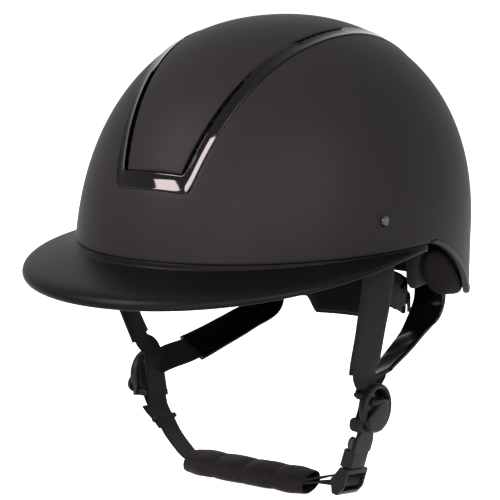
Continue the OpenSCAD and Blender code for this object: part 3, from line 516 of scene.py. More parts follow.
def smoothstep(low, high, x):
    f = np.clip((np.asarray(x, float) - low) / (high - low), 0, 1)
    return f * f * (3 - 2 * f)


def mix(a, b, f):
    return a + (b - a) * f


print("loft helpers ready")

# %% [markdown]
# ## The dome
# The shell is a super-ellipsoid that leans back: long, higher behind the middle, and nearly
# upright below its widest plane. One function gives a point for a plan angle and a lift angle,
# moved in by a depth. All pieces on or under the shell use it, so they fit each other.

# %% The dome's formula
HALF_WIDTH, FRONT, REAR, CROWN, LEAN = 110.0, 128.8, 146.0, 139.0, 16.0
WALL, SEAM = 3.0, 9.5
SKIRT, TUCK = 2.4, 0.0002
PLAN_POWER, RISE_POWERS, FLANK_POWERS = 2.06, (2.25, 2.23), (2.43, 1.93)
EAR_FROM = 5.0
RIM_DROP, RIM_LENGTH, RIM_POWER = 44.0, 77.0, 1.5


def spow(v, e):
    return np.sign(v) * np.abs(v) ** e


def powers(phi):
    """The dome's powers for its rise and its flank, which change from the front to the rear."""
    rear = (1 + np.sin(np.radians(phi))) / 2
    return mix(*RISE_POWERS, rear), mix(*FLANK_POWERS, rear)


def dome(phi, t, depth=0.0):
    """Points at plan angle phi and lift t, in degrees; depth is one value, or one for each axis."""
    phi, t = np.broadcast_arrays(np.asarray(phi, float), np.asarray(t, float))
    deep_x, deep_y, deep_z = depth if isinstance(depth, tuple) else (depth,) * 3
    rise, flank = powers(phi)
    lifted = np.clip(t, 0, 90)
    h = np.sin(np.radians(lifted)) ** (2 / rise)
    level = np.maximum(np.cos(np.radians(lifted)), 0) ** (2 / flank)
    r = np.where(t > 0, level, 1 + t * SKIRT * TUCK)
    s, c = np.sin(np.radians(phi)), np.cos(np.radians(phi))
    reach = np.where(s < 0, FRONT, REAR)
    return np.stack([spow(c, 2 / PLAN_POWER) * (HALF_WIDTH - deep_x) * r,
                     spow(s, 2 / PLAN_POWER) * (reach - deep_y) * r + LEAN * h,
                     (CROWN - deep_z) * h + np.minimum(t, 0) * SKIRT], axis=-1)


def lift(z, phi, deep_z=0.0):
    """The lift angle at which the dome has the height z."""
    z, phi = np.broadcast_arrays(np.asarray(z, float), np.asarray(phi, float))
    share = np.clip(np.maximum(z, 0) / (CROWN - deep_z), 0, 1) ** (powers(phi)[0] / 2)
    return np.where(z > 0, np.degrees(np.arcsin(share)), z / SKIRT)


def over(across, angle, depth=0.0):
    """Points by distance across and angle over the crown from the front."""
    across, angle = np.broadcast_arrays(np.asarray(across, float), np.asarray(angle, float))
    x = across / HALF_WIDTH
    m = np.sqrt(1 - x * x)
    y, z = -np.cos(np.radians(angle)) * m, np.sin(np.radians(angle)) * m
    return dome(np.degrees(np.arctan2(y, x)), np.degrees(np.arcsin(z)), depth)


def base_y(phi):
    s = np.sin(np.radians(phi))
    return spow(s, 2 / PLAN_POWER) * np.where(s < 0, FRONT, REAR)


def rim_z(y):
    """The lower rim: level under the brim, then dropping over the ears to the rear."""
    return SEAM - RIM_DROP * np.clip((y - EAR_FROM) / RIM_LENGTH, 0, 1) ** RIM_POWER


def bead_at(y):
    """The bead's height, which grows behind the temple."""
    return 2.6 * np.clip((y - EAR_FROM) / 8.0, 0, 1)


print("crown point:", dome(0, 90).round(1))

# %% [markdown]
# ## The trim's outline
# The polished frame starts with a bar above the brim and runs over the crown in two arms that
# spread and then draw in. The panel between them sits in a shallow recess, and a dark vent slot
# opens between the panel and each arm. f runs from 0 at the bar to 1 at the rear end.

# %% The trim's outline
BAR_ANGLE, END_ANGLE, BAR_RISE = 17.8, 150.0, 4.2
SLOT, RECESS, RECESS_SLOPE, MM_PER_DEGREE = 2.8, 1.7, (0.35, 2.25), 2.3


def arm_angle(f):
    return mix(BAR_ANGLE, END_ANGLE, f)


def trim_outer(f):
    return 25.2 + 62.5 * f - 47.4 * f ** 2 - 1.9 * f ** 3


def arm_width(f):
    return 6.6 * mix(1, 0.6, f)


def slot_share(f):
    """1 where the slot is open, 0 where the arm covers it, with soft ends."""
    first = 1 - smoothstep(0.262, 0.286, f)
    second = smoothstep(0.39, 0.412, f) * (1 - smoothstep(0.538, 0.562, f))
    return first + second


def trim_inner(f):
    return trim_outer(f) - arm_width(f) - (1 - slot_share(f)) * (SLOT - 0.3)


def panel_edge(f):
    return trim_outer(f) - arm_width(f) - SLOT


print("half width at the widest:", round(float(trim_outer(np.linspace(0, 1, 99)).max()), 1), "mm")

# %% [markdown]
# ## Shell
# The shell is a skin with a 3 mm wall. A fine grid follows the dome, its lowest rows round the
# rim, and the rows inside the trim's outline sink by the recess. Cells under the two vent slots
# of each side are left out of both skins and walled, so the vents are real holes. Building it
# from rows, rather than cutting with booleans, keeps the matte surface perfectly even.

# %% Shell
COLUMNS, ROWS = 320, 92
RIM_SHARES = [0.0, 0.0015, 0.004]
RIM_ROUND = [1.0, 0.35]
VENTS = ((0.03, 0.255), (0.42, 0.53))


def over_place(phi, t):
    """The distance across, the angle over the crown and f at a plan angle and a lift."""
    t = np.maximum(t, 0)
    level, height = np.cos(np.radians(t)), np.sin(np.radians(t))
    x, y = level * np.cos(np.radians(phi)), level * np.sin(np.radians(phi))
    angle = np.degrees(np.arctan2(height, -y))
    return HALF_WIDTH * x, angle, (angle - BAR_ANGLE) / (END_ANGLE - BAR_ANGLE)


def sunk(phi, t):
    """How far the recess lowers the skin at each place."""
    across, angle, f = over_place(phi, t)
    inside = np.minimum(trim_outer(np.clip(f, 0, 1)) - np.abs(across),
                        np.minimum(angle - BAR_ANGLE, END_ANGLE - angle) * MM_PER_DEGREE)
    return (RECESS + 0.15) * smoothstep(*RECESS_SLOPE, inside)


def in_vent(phi, t, reach):
    across, _, f = over_place(phi, t)
    middle = trim_outer(f) - arm_width(f) - SLOT / 2
    near = np.abs(np.abs(across) - middle) < reach
    return near & np.any([(f > first) & (f < last) for first, last in VENTS], axis=0)


def cup(name, edge, outside, inside, material, columns, rows, reach, floor, rounded):
    """A cup with a wall. outside and inside are depths by axis; edge is the rim's height by y.

    Vents of the given reach go through both skins. floor lowers the outer skin, and rounded is
    how far the rim's two edges are softened."""
    phi = np.linspace(0, 360, columns, endpoint=False)
    low = edge(base_y(phi))
    share = np.concatenate([RIM_SHARES, np.linspace(0.009, 1, rows - 2)[:-1]])[:, None]
    skins = []
    for depth, tuck in ((outside, 1), (inside, -1)):
        start = lift(low, phi, depth[2])
        t = start + (90 - start) * share
        soft = np.array(RIM_ROUND + [0.0] * (len(share) - 2))[:, None] * (tuck * rounded)
        extra = soft + (floor(phi[None, :], t) if tuck > 0 else 0)
        skins.append(dome(phi[None, :], t, tuple(d + extra for d in depth)))
    count = len(share)
    size = count * columns
    tops = [dome(0, 90, outside) - (0, 0, floor(0.0, 90.0)), dome(0, 90, inside)]
    points = np.concatenate([skin.reshape(-1, 3) for skin in skins] + [np.array(tops)])
    open_cell = in_vent(np.broadcast_to(phi + 180 / columns, t.shape)[:-1], (t[:-1] + t[1:]) / 2,
                        reach)
    faces = []
    for i in range(count - 1):
        for j in range(columns):
            k = (j + 1) % columns
            here, above = i * columns, (i + 1) * columns
            a, b, c, d = here + j, here + k, above + k, above + j
            if not open_cell[i, j]:
                faces += [(a, b, c, d), (size + a, size + d, size + c, size + b)]
                continue
            for goes_on, p, q in ((open_cell[i - 1, j], a, b), (open_cell[i, k], b, c),
                                  (open_cell[min(i + 1, count - 2), j], c, d),
                                  (open_cell[i, j - 1], d, a)):
                if not goes_on:
                    faces.append((p, q, size + q, size + p))
    last = (count - 1) * columns
    for j in range(columns):
        k = (j + 1) % columns
        faces += [(last + j, last + k, 2 * size),
                  (size + last + k, size + last + j, 2 * size + 1), (j, size + j, size + k, k)]
    return new_piece(name, points, faces, material)


def shell_edge(y):
    """The shell ends just above the bead."""
    return rim_z(y) + bead_at(y) + 0.15


shell = cup("shell", shell_edge, (0.0,) * 3, (WALL,) * 3, paint, COLUMNS, ROWS, 2.9, sunk, 0.55)
put(shell, "helmet", "shell", "outer_shell")
print("shell faces:", len(shell.data.polygons))

# %% [markdown]
# ## Brim
# The brim is one swept section: a short upright band under the seam, a concave flare, and a
# rolled lip with a thin rounded edge. Its width and drop follow the plan angle and vanish over
# the temples. The same section is drawn at many stations, each pushed straight out from the
# shell.

# %% Brim
BRIM_SPAN, BRIM_WIDTH, BRIM_DROP = 91.4, 41.8, 20.0
BRIM_TIP, BRIM_DEPTH, BRIM_SEATS = 0.6, 3.2, (0.45, 0.12)
BRIM_TOP = [(0, 0), (0.0, 0.10), (0.012, 0.17), (0.05, 0.21), (0.16, 0.275), (0.36, 0.365),
            (0.6, 0.47), (0.8, 0.56), (0.92, 0.65), (0.975, 0.75), (0.998, 0.86), (1.0, 0.93)]
BRIM_UNDER = [(0.99, 0.985), (0.97, 1.0), (0.94, 0.975), (0.88, 0.935), (0.66, 0.80),
              (0.36, 0.67), (0.1, 0.6)]


def brim_rings(stations):
    theta = np.linspace(BRIM_TIP - BRIM_SPAN, BRIM_SPAN - BRIM_TIP, stations)
    x = theta / BRIM_SPAN
    reach = BRIM_WIDTH * np.maximum(1 - x ** 2, 0) ** 1.34
    fall = BRIM_DROP * (1 - 1.87 * x ** 2 + 1.08 * x ** 4)
    phi = theta - 90
    root = dome(phi, lift(SEAM, phi))
    behind = dome(phi, lift(SEAM, phi, BRIM_DEPTH), BRIM_DEPTH)
    out = np.stack([root[:, 0] / HALF_WIDTH ** 2, root[:, 1] / FRONT ** 2, 0 * phi], axis=1)
    out /= np.linalg.norm(out, axis=1)[:, None]
    section = np.concatenate([smooth_path(BRIM_TOP, 34), smooth_path(BRIM_UNDER, 20)])
    rings = []
    for i in range(stations):
        low = root[i] * (1, 1, 0) + (0, 0, SEAM - 0.15)
        ring = (low + out[i] * section[:, :1] * reach[i]
                - np.array([0, 0, 1]) * section[:, 1:] * fall[i])
        for k, seat in enumerate(BRIM_SEATS):
            ring[k] -= out[i] * seat
        tail = [behind[i] * (1, 1, 0) + (0, 0, z) for z in (SEAM - 0.56 * fall[i], SEAM - 0.2)]
        rings.append(np.concatenate([ring, tail]))
    return rings


brim = put(loft("brim_shell", brim_rings(150), brim_paint), "helmet", "brim", "brim")
print("brim points:", len(brim.data.vertices))

# %% [markdown]
# ## Edge bead
# A moulded bead grips the shell's edge from temple to temple, behind the ears and round the
# rear. Its section is a small rounded channel, swept along the rim.

# %% Edge bead
BEAD_FROM = 5.6
BEAD_SECTION = [(-0.55, 0.98), (-0.75, 0.62), (-0.6, 0.28), (-0.1, 0.06), (0.9, -0.02),
                (2.2, 0.0), (3.1, 0.14), (3.45, 0.5), (3.4, 0.98)]


def bead_rings(stations):
    """Rings of (depth, share of the bead's height) along the rim."""
    start = math.degrees(math.asin((BEAD_FROM / REAR) ** (PLAN_POWER / 2)))
    rings = []
    for phi in np.linspace(start, 180 - start, stations):
        y = base_y(phi)
        low, high = rim_z(y), rim_z(y) + bead_at(y) + 0.1
        rings.append([dome(phi, lift(mix(low, high, up), phi, depth), depth)
                      for depth, up in smooth_path(BEAD_SECTION, 22)])
    return rings


bead = put(loft("rim_bead", bead_rings(150), edging), "helmet", "bead", "edge_bead")
print("bead points:", len(bead.data.vertices))

# %% [markdown]
# ## Polished frame
# The frame's face is hollow between a raised outer lip and a lower inner lip, so it carries a
# thin bright line along its outer edge and long dark reflections. It is swept down one arm,
# round the front bar and up the other arm. The corners are rounded on the way, which lets one
# highlight run from the bar into the arm.

# %% Polished frame
TRIM_SECTION = [(0.0, 1.35), (0.0, 0.4), (0.0, -0.2), (0.02, -0.48), (0.06, -0.62),
                (0.12, -0.58), (0.28, -0.38), (0.50, -0.22), (0.72, -0.24), (0.88, -0.48),
                (0.95, -0.52), (0.995, -0.25), (1.0, 0.4), (1.0, 1.35)]
ARM_END, CROWDING = 0.05, 1.15
BAR_OUTER, BAR_INNER = (23.4, BAR_ANGLE + 0.05), (18.2, BAR_ANGLE + BAR_RISE)


def bent(first, corner, last, s):
    """A place on the soft bend between two ends, at the share s of the way."""
    return (1 - s) ** 2 * first + 2 * s * (1 - s) * corner + s * s * last


def trim_corner(edge, bar_end):
    """The bend's places: the arm's end, where the arm's line meets the bar's, the bar's end."""
    end, before = (np.array([edge(f), arm_angle(f)]) for f in (ARM_END, ARM_END + 0.006))
    way = end - before
    return np.array([end, end + way * (bar_end[1] - end[1]) / way[1], bar_end])


def trim_line(stations=90, bar=60, bend=22):
    """Outer and inner edge of the frame as places over the crown, rear end to rear end."""
    f = np.linspace(1, ARM_END ** (1 / CROWDING), stations) ** CROWDING
    half = [((trim_outer(g), arm_angle(g)), (trim_inner(g), arm_angle(g))) for g in f]
    edges = [[bent(*places, s) for s in np.linspace(0, 1, bend)[1:-1]]
             for places in (trim_corner(trim_outer, BAR_OUTER),
                            trim_corner(trim_inner, BAR_INNER))]
    half += list(zip(*edges))
    front = [tuple((end[0] * s, end[1]) for end in (BAR_OUTER, BAR_INNER))
             for s in np.linspace(1, -1, bar)]
    other = [((-a[0], a[1]), (-b[0], b[1])) for a, b in reversed(half)]
    return half + front + other


def trim_rings():
    share, depth = smooth_path(TRIM_SECTION, 46).T
    return [over(mix(outer[0], inner[0], share), mix(outer[1], inner[1], share), depth)
            for outer, inner in trim_line()]


trim = put(loft("polished_frame", trim_rings(), chrome), "helmet", "trim", "trim_frame")
print("frame points:", len(trim.data.vertices))

# %% [markdown]
# ## Centre panel
# The panel fills the recess between the arms, level with the shell. It is a grid of rows over
# the crown whose last columns roll down at the edges, and it turns under at the front bar.

# %% Centre panel
ROLL = [1.0, 0.5, 0.16, 0.03]


def rolled(middle):
    """How far each row or column rolls down, with flat ones between the rolled ends."""
    return np.concatenate([ROLL, np.zeros(middle), ROLL[::-1]])


def panel_grid():
    columns = np.concatenate([[-1.0, -1.0, -0.995, -0.98], np.linspace(-0.95, 0.95, 30),
                              [0.98, 0.995, 1.0, 1.0]])
    rows = np.concatenate([[0.0345, 0.0345, 0.036, 0.04], np.linspace(0.05, 0.99, 120),
                           [0.993, 0.996, 0.997, 0.997]])
    top, under = [], []
    for g, end in zip(rows, rolled(120)):
        across = columns * (panel_edge(g) - 0.05)
        top.append(over(across, arm_angle(g), np.maximum(rolled(30), end) * 0.9))
        under.append(over(across * 0.995, arm_angle(g), 0.95))
    return np.array(top), np.array(under)


def panel_piece():
    top, under = panel_grid()
    rows, columns = top.shape[:2]
    size = rows * columns
    skin = grid_faces(rows, columns, False)
    last = (rows - 1) * columns
    ring = (list(range(columns)) + [i * columns + columns - 1 for i in range(1, rows)]
            + [last + j for j in reversed(range(columns - 1))]
            + [i * columns for i in reversed(range(1, rows - 1))])
    walls = [(a, size + a, size + b, b) for a, b in zip(ring, ring[1:] + ring[:1])]
    faces = skin + [tuple(size + v for v in reversed(face)) for face in skin] + walls
    points = np.concatenate([top.reshape(-1, 3), under.reshape(-1, 3)])
    return new_piece("crown_panel", points, faces, paint)


panel = put(panel_piece(), "helmet", "panel", "centre_panel")
print("panel points:", len(panel.data.vertices))

# %% [markdown]
# ## Vent ribs with Geometry Nodes
# Small ribs cross the dark slots. They follow a rule, so Geometry Nodes make them: a curve runs
# where the shapes go, it is resampled to points, and one small shape is instanced on each point
# and turned along the curve. Realize Instances turns them into a mesh, because an export drops
# instances. The same tree sews the stitches later.

# %% A tree that repeats a shape along a curve
def repeat_tree(name, material, size, spacing, round_shape=False):
    """Blocks or beads of one size, one every spacing along a curve, their length along it."""
    tree = bpy.data.node_groups.new(name, "GeometryNodeTree")
    for way in ("INPUT", "OUTPUT"):
        tree.interface.new_socket("Geometry", in_out=way, socket_type="NodeSocketGeometry")
    labels = ("Width", "Height", "Length", "Spacing")
    for label, value in zip(labels, (*size, spacing)):
        socket = tree.interface.new_socket(label, in_out="INPUT", socket_type="NodeSocketFloat")
        socket.default_value = value
    given = tree.nodes.new("NodeGroupInput").outputs
    points = wired(tree, "GeometryNodeCurveToPoints",
                   {"Curve": given["Geometry"], "Length": given["Spacing"]}, mode="LENGTH").outputs
    if round_shape:
        shape = wired(tree, "GeometryNodeMeshUVSphere", {"Segments": 6, "Rings": 5, "Radius": 0.5})
    else:
        shape = wired(tree, "GeometryNodeMeshCube")
    scale = wired(tree, "ShaderNodeCombineXYZ", {n: given[labels[n]] for n in range(3)})
    placed = wired(tree, "GeometryNodeInstanceOnPoints",
                   {"Points": points["Points"], "Rotation": points["Rotation"],
                    "Instance": shape.outputs["Mesh"], "Scale": scale.outputs[0]})
    solid = wired(tree, "GeometryNodeRealizeInstances", {0: placed.outputs["Instances"]})
    finished = wired(tree, "GeometryNodeSetMaterial",
                     {"Geometry": solid.outputs["Geometry"], "Material": material})
    wired(tree, "NodeGroupOutput", {"Geometry": finished.outputs["Geometry"]})
    return tree


def repeated(name, lines, tree, sizes=None):
    """Run a repeat tree on poly curves through points in millimetres and keep the plain mesh."""
    curve = bpy.data.curves.new(name + "_line", "CURVE")
    curve.dimensions = "3D"
    for line in lines:
        spline = curve.splines.new("POLY")
        spline.points.add(len(line) - 1)
        for n, point in enumerate(line):
            spline.points[n].co = (*(np.asarray(point, float) * MM), 1)
    maker = bpy.data.objects.new(name + "_line", curve)
    scene.collection.objects.link(maker)
    modifier = maker.modifiers.new("repeat", "NODES")
    modifier.node_group = tree
    named = {item.name: item.identifier for item in tree.interface.items_tree}
    for label, value in (sizes or {}).items():
        modifier[named[label]] = value
    bpy.context.view_layer.update()
    evaluated = maker.evaluated_get(bpy.context.evaluated_depsgraph_get())
    piece = bpy.data.objects.new(name, bpy.data.meshes.new_from_object(evaluated))
    scene.collection.objects.link(piece)
    bpy.data.objects.remove(maker)
    piece.data.name = name
    return piece


print("repeat tree ready")

# %% Vent ribs
RIB_STEP = 0.032
RIB_RANGES = ((0.055, 0.25), (0.435, 0.53))


def rib_lines():
    return [[over(side * x, arm_angle(f), 1.9) for x in (panel_edge(f) - 0.3, trim_inner(f) + 0.3)]
            for side in (-1, 1) for first, last in RIB_RANGES
            for f in np.arange(first, last, RIB_STEP)]


rib_tree = repeat_tree("vent_rib", slot_black, (0.0011, 0.0018, 0.0036), 1.0)
ribs = repeated("vent_ribs", rib_lines(), rib_tree, {"Spacing": 0.0017})
put(ribs, "helmet", "grille", "vent_grilles")
print("rib faces:", len(ribs.data.polygons))

# %% [markdown]
# ## Shock liner
# Under the shell lies a thick foam liner with vent channels that meet the shell's slots. It is
# another cup on the same dome, with its own depths at the sides, the ends and the crown. Where
# the front straps rise to their anchors, the foam's outer skin is drawn in.

# %% Shock liner
LINER_OUT = 3.8
LINER_IN = (LINER_OUT + 22.0, LINER_OUT + 28.0, LINER_OUT + 26.0)
COMFORT_OUT = tuple(d + 0.8 for d in LINER_IN)
COMFORT_IN = tuple(d + 5.0 for d in COMFORT_OUT)


def liner_edge(y):
    return np.maximum(rim_z(y) + 4, -18)


def strap_room(phi, t):
    place = dome(phi, t, LINER_OUT)
    near = 1 - smoothstep(16.0, 19.0, np.abs(place[..., 1] + 34))
    return (12.6 * near * (1 - smoothstep(35.0, 41.0, place[..., 2]))
            * (np.abs(place[..., 0]) > 60))


liner = cup("foam_liner", liner_edge, (LINER_OUT,) * 3, LINER_IN, foam, 220, 60, 3.4, strap_room,
            1.6)
put(liner, "helmet", "foam", "shock_liner")
print("liner faces:", len(liner.data.polygons))

# %% [markdown]
# ## Comfort padding
# The padding inside is knitted mesh over soft foam, sewn into puffs. Each pad is a skin on the
# liner and a second skin that swells away from it: thick between the seams, nothing at its edge.
# The swelling is a product of rounded profiles, which gives the crowned look of a sewn pad.

# %% Padding shapes
BORDER_GAP = 0.00004


def puff(s, power=0.42):
    """A rounded swelling from 0 at both ends of 0..1 to 1 in the middle."""
    return np.clip(1 - np.abs(2 * s - 1) ** 2.6, 0, 1) ** power


def channels(s, count, depth, width):
    """1 with narrow dips at the sewn lines that divide 0..1 into count parts."""
    seam = np.round(s * count)
    inside = (seam > 0) & (seam < count)
    near = np.abs(s * count - seam) * inside
    return 1 - depth * inside * np.exp(-(near / width) ** 2)


def ripple(a, b, seed, size=1.0):
    """Soft uneven waves for fabric, from a few sines with fixed phases."""
    rng = np.random.default_rng(seed)
    total = 0
    for _ in range(6):
        ka, kb, ph = rng.uniform(0.5, 2.2), rng.uniform(0.5, 2.2), rng.uniform(0, 6.28)
        total = total + np.sin(a * ka * size + b * kb * size * rng.choice([-1, 1]) + ph)
    return total / 6


def flat_border(swell):
    """The swelling between 0 and 1, with nothing at the pad's border."""
    swell = np.clip(swell, 0, 1)
    swell[[0, -1]] = 0
    swell[:, [0, -1]] = 0
    return swell


def weld(work):
    bmesh.ops.remove_doubles(work, verts=work.verts, dist=BORDER_GAP)
    face_outwards(work)


def pad_between(name, back, front, material):
    """A closed pad from two grids of points that share their border."""
    rows, columns = back.shape[:2]
    size = rows * columns
    faces = grid_faces(rows, columns, False)
    faces = faces + [tuple(size + v for v in reversed(face)) for face in faces]
    piece = new_piece(name, np.concatenate([back.reshape(-1, 3), front.reshape(-1, 3)]), faces,
                      material, np.concatenate([grid_uv(back), grid_uv(front)]))
    through_bmesh(piece.data, weld)
    return piece


print("pad shapes ready")

# %% Brow band
def brow_pad():
    u, v = np.meshgrid(np.linspace(0, 1, 180), np.linspace(0, 1, 40))
    phi = -155 + 130 * u
    z = 16.3 + 31.4 * v
    swell = puff(v) * puff(u, 0.16) * channels(u, 5, 0.45, 0.05) * channels(v, 2, 0.2, 0.07)
    swell = flat_border(swell + 0.05 * ripple(u * 60, v * 12, 3) * puff(v) * puff(u, 0.2))
    back, inner = (dome(phi, lift(z, phi, d[2]), d) for d in (COMFORT_OUT, COMFORT_IN))
    return pad_between("brow_band", back, mix(back, inner, swell[..., None]), mesh_cloth)


brow = put(brow_pad(), "helmet", "padding", "comfort_liner")
print("brow band points:", len(brow.data.vertices))

# %% Crown pad
CROWN_LOW = 75.0


def drop_loose(work):
    loose = [v for v in work.verts if not v.link_faces]
    bmesh.ops.delete(work, geom=loose, context="VERTS")


def crown_cushion(columns=144, rows=46):
    """A dome of six puffs whose edge is closed, with a sewn ring round its middle."""
    phi = np.linspace(0, 360, columns, endpoint=False)[None, :]
    share = np.linspace(0, 1, rows)[:-1, None]
    start = lift(CROWN_LOW, phi, COMFORT_OUT[2])
    t = start + (90 - start) * share
    swell = np.clip(1 - (1 - share) ** 5, 0, 1) ** 0.5 * np.ones_like(phi)
    arms = np.abs(((phi / 60 + 0.5) % 1) - 0.5) * 60 * np.cos(np.radians(t))
    swell = (swell * (1 - 0.5 * np.exp(-(arms / 1.3) ** 2))
             * (1 - 0.35 * np.exp(-((share - 0.45) / 0.03) ** 2)))
    swell = np.clip(swell + 0.04 * ripple(phi / 9, share * 16, 5) * (share > 0.02), 0, 1)
    back = dome(phi, t, COMFORT_OUT)
    front = mix(back, dome(phi, t, COMFORT_IN), swell[..., None])
    front[0] = back[0]
    count = rows - 1
    size = count * columns
    top_back, top_front = dome(0, 90, COMFORT_OUT), dome(0, 90, COMFORT_IN)
    points = np.concatenate([back.reshape(-1, 3), front.reshape(-1, 3), [top_back],
                             [mix(top_back, top_front, 0.62)]])
    faces = grid_faces(count, columns, True)
    faces += [tuple(size + v if v >= columns else v for v in reversed(face)) for face in faces]
    top = (count - 1) * columns
    for j in range(columns):
        k = (j + 1) % columns
        faces += [(top + j, top + k, 2 * size), (size + top + k, size + top + j, 2 * size + 1)]
    piece = new_piece("crown_cushion", points, faces, mesh_cloth)
    through_bmesh(piece.data, drop_loose)
    return piece


cushion = put(crown_cushion(), "helmet", "padding", "crown_pad")
print("crown cushion points:", len(cushion.data.vertices))

# %% [markdown]
# ## Neck pad
# A leather roll lines the neck under the liner's rear edge and shows in the ear opening. Its
# section is a soft oval that closes at both ends. A sewn seam runs along its inner face, with
# the leather drawn in on both sides and small creases across it. Two rows of stitches, made by
# the repeat tree, follow the roll.

# %% Neck pad
NECK_FROM, NECK_THICK, NECK_LOW = 6.6, 10.0, -37.0
SEAM_ANGLE = 205
STITCH_SIDES = (22, 28)


def closing(s, steepness, flatness):
    """1 along a roll, falling to nearly 0 in a round end; s runs from 0 to 1."""
    end = min(min(s, 1 - s) * steepness, 1)
    return math.sqrt(max(1 - (1 - end) ** 2 * flatness, 0))


def neck_section(phi, share, angles):
    y = base_y(phi)
    top = liner_edge(y) - 0.7
    low = mix(NECK_LOW + 12, NECK_LOW, np.clip((y - 27) / 68, 0, 1))
    half = (top - low) / 2 * share
    thick = NECK_THICK / 2 * mix(share, 1, 0.3)
    a = np.radians(angles)
    seam = np.exp(-((np.abs(((angles - SEAM_ANGLE) + 180) % 360 - 180)) / 9.0) ** 2)
    crease = 0.35 * ripple(phi * 1.5, angles / 16, 11, 1.3) * (0.4 + seam)
    swell = 1 - 0.16 * seam
    inset = LINER_OUT + NECK_THICK / 2 - (thick * spow(np.cos(a), 0.78) + 0.5 * crease) * swell
    z = (top + low) / 2 + half * spow(np.sin(a), 0.72)
    return dome(phi, lift(z, phi, inset), inset)


def neck_roll(stations=220, sides=44):
    angles = np.linspace(0, 360, sides, endpoint=False)
    return [neck_section(mix(NECK_FROM, 180 - NECK_FROM, s) + 0 * angles,
                         closing(s, 40 / 3, 0.92), angles) for s in np.linspace(0, 1, stations)]


def lifted(ring, k):
    """A place just above the ring's point k, away from its middle."""
    out = ring[k] - ring.mean(0)
    return ring[k] + 0.12 * out / np.linalg.norm(out)


roll_rings = neck_roll()
roll = put(loft("neck_roll", roll_rings, neck_leather), "helmet", "neck_leather", "neck_pad")
stitch_tree = repeat_tree("stitch", thread, (0.00055, 0.00055, 0.0022), 0.0032, round_shape=True)
sewn = [[lifted(ring, k) for ring in roll_rings[8:-8]] for k in STITCH_SIDES]
put(repeated("neck_stitches", sewn, stitch_tree), "helmet", "neck_leather")
print("neck roll points:", len(roll.data.vertices))

# %% [markdown]
# Inside the roll, a flat cushion fills the corner between the liner and the ear opening.

# %% Ear cushions
SIDES = ((1, "left"), (-1, "right"))
EAR_FIRST, EAR_LAST, EAR_LOW, EAR_INSET, EAR_HALF = 5.0, 27.0, -21.0, 17.6, 3.6


def mirrored(points):
    return np.asarray(points, float) * (-1, 1, 1)


def ear_section(phi, share, angles):
    top = liner_edge(base_y(phi)) - 0.9
    a = np.radians(angles)
    inset = EAR_INSET - EAR_HALF * mix(share, 1, 0.3) * spow(np.cos(a), 0.7)
    z = (top + EAR_LOW) / 2 + (top - EAR_LOW) / 2 * share * spow(np.sin(a), 0.5)
    return dome(phi, lift(z, phi, inset), inset)


def ear_rings(stations=60, sides=40):
    angles = np.linspace(0, 360, sides, endpoint=False)
    return [ear_section(mix(EAR_FIRST, EAR_LAST, s) + 0 * angles, closing(s, 9, 0.9), angles)
            for s in np.linspace(0, 1, stations)]


for side, word in SIDES:
    rings = mirrored(ear_rings()) if side < 0 else ear_rings()
    put(loft("ear_cushion_" + word, rings, mesh_cloth), "helmet", "padding")
print("ear cushions: 2")

# %% [markdown]
# ## The harness frame
# The straps meet at a divider below each ear, a little turned from the shell's axes. One
# function takes a place across, along the strap's width and up from the divider, and gives the
# point in the helmet's frame. The right side is the left one mirrored.

# %% Harness places
JUNCTION, HARNESS_TILT, DIVIDER_X = np.array([0, -14, -73.4]), math.radians(8.65), 84.5
BUCKLE_LEAN = math.radians(13)
UPPER_BAR, LOWER_BAR, RING_V = (-4.8, -7.0), (-5.6, -26.5), -14.4
WEBBING_WIDTH, WEBBING = 18.0, 1.3
C, S = math.cos(HARNESS_TILT), math.sin(HARNESS_TILT)


def harness(x, u, v):
    x, u, v = np.broadcast_arrays(*(np.asarray(a, float) for a in (x, u, v)))
    return np.stack([x, JUNCTION[1] + u * C + v * S, JUNCTION[2] + v * C - u * S], axis=-1)


def at_divider(w, u, v):
    return harness(DIVIDER_X + np.asarray(w, float), u, v)


def at_buckle(w, u, z):
    w, z = np.asarray(w, float), np.asarray(z, float)
    c, s = math.cos(BUCKLE_LEAN), math.sin(BUCKLE_LEAN)
    return harness(DIVIDER_X + LOWER_BAR[0] + w * c + z * s, u, LOWER_BAR[1] - w * s + z * c)


print("left divider at", harness(DIVIDER_X, 0, 0).round(1))

# %% [markdown]
# ## Straps and sleeves
# A strap is a flat ribbon: a thin rounded section carried along a smooth path, turned so that its
# width follows a given direction. At the divider it goes round the bar and comes back up against
# itself, as a sewn loop does. Taut webbing has no folds to simulate, so it is built directly.

# %% Ribbons
def frames(path, ways):
    """The width direction and the face direction at each point of a dense path."""
    forward = np.gradient(path, axis=0)
    forward /= np.linalg.norm(forward, axis=1)[:, None]
    way = np.asarray(ways, float) - forward * np.sum(forward * ways, axis=1)[:, None]
    way /= np.linalg.norm(way, axis=1)[:, None]
    return way, np.cross(way, forward)


def flat_section(count=28, roll=0.5):
    """A ribbon's section in halves of its width and thickness, starting at one edge."""
    a = np.radians(np.linspace(0, 360, count, endpoint=False))
    return np.stack([spow(np.cos(a), 0.35), spow(np.sin(a), roll)], axis=1)


def ribbon_rings(path, ways, width):
    across, thick = np.hsplit(flat_section(), 2)
    way, face = frames(path, ways)
    width = np.broadcast_to(width, len(path))
    return [path[i] + way[i] * across * width[i] / 2 + face[i] * thick * WEBBING / 2
            for i in range(len(path))]


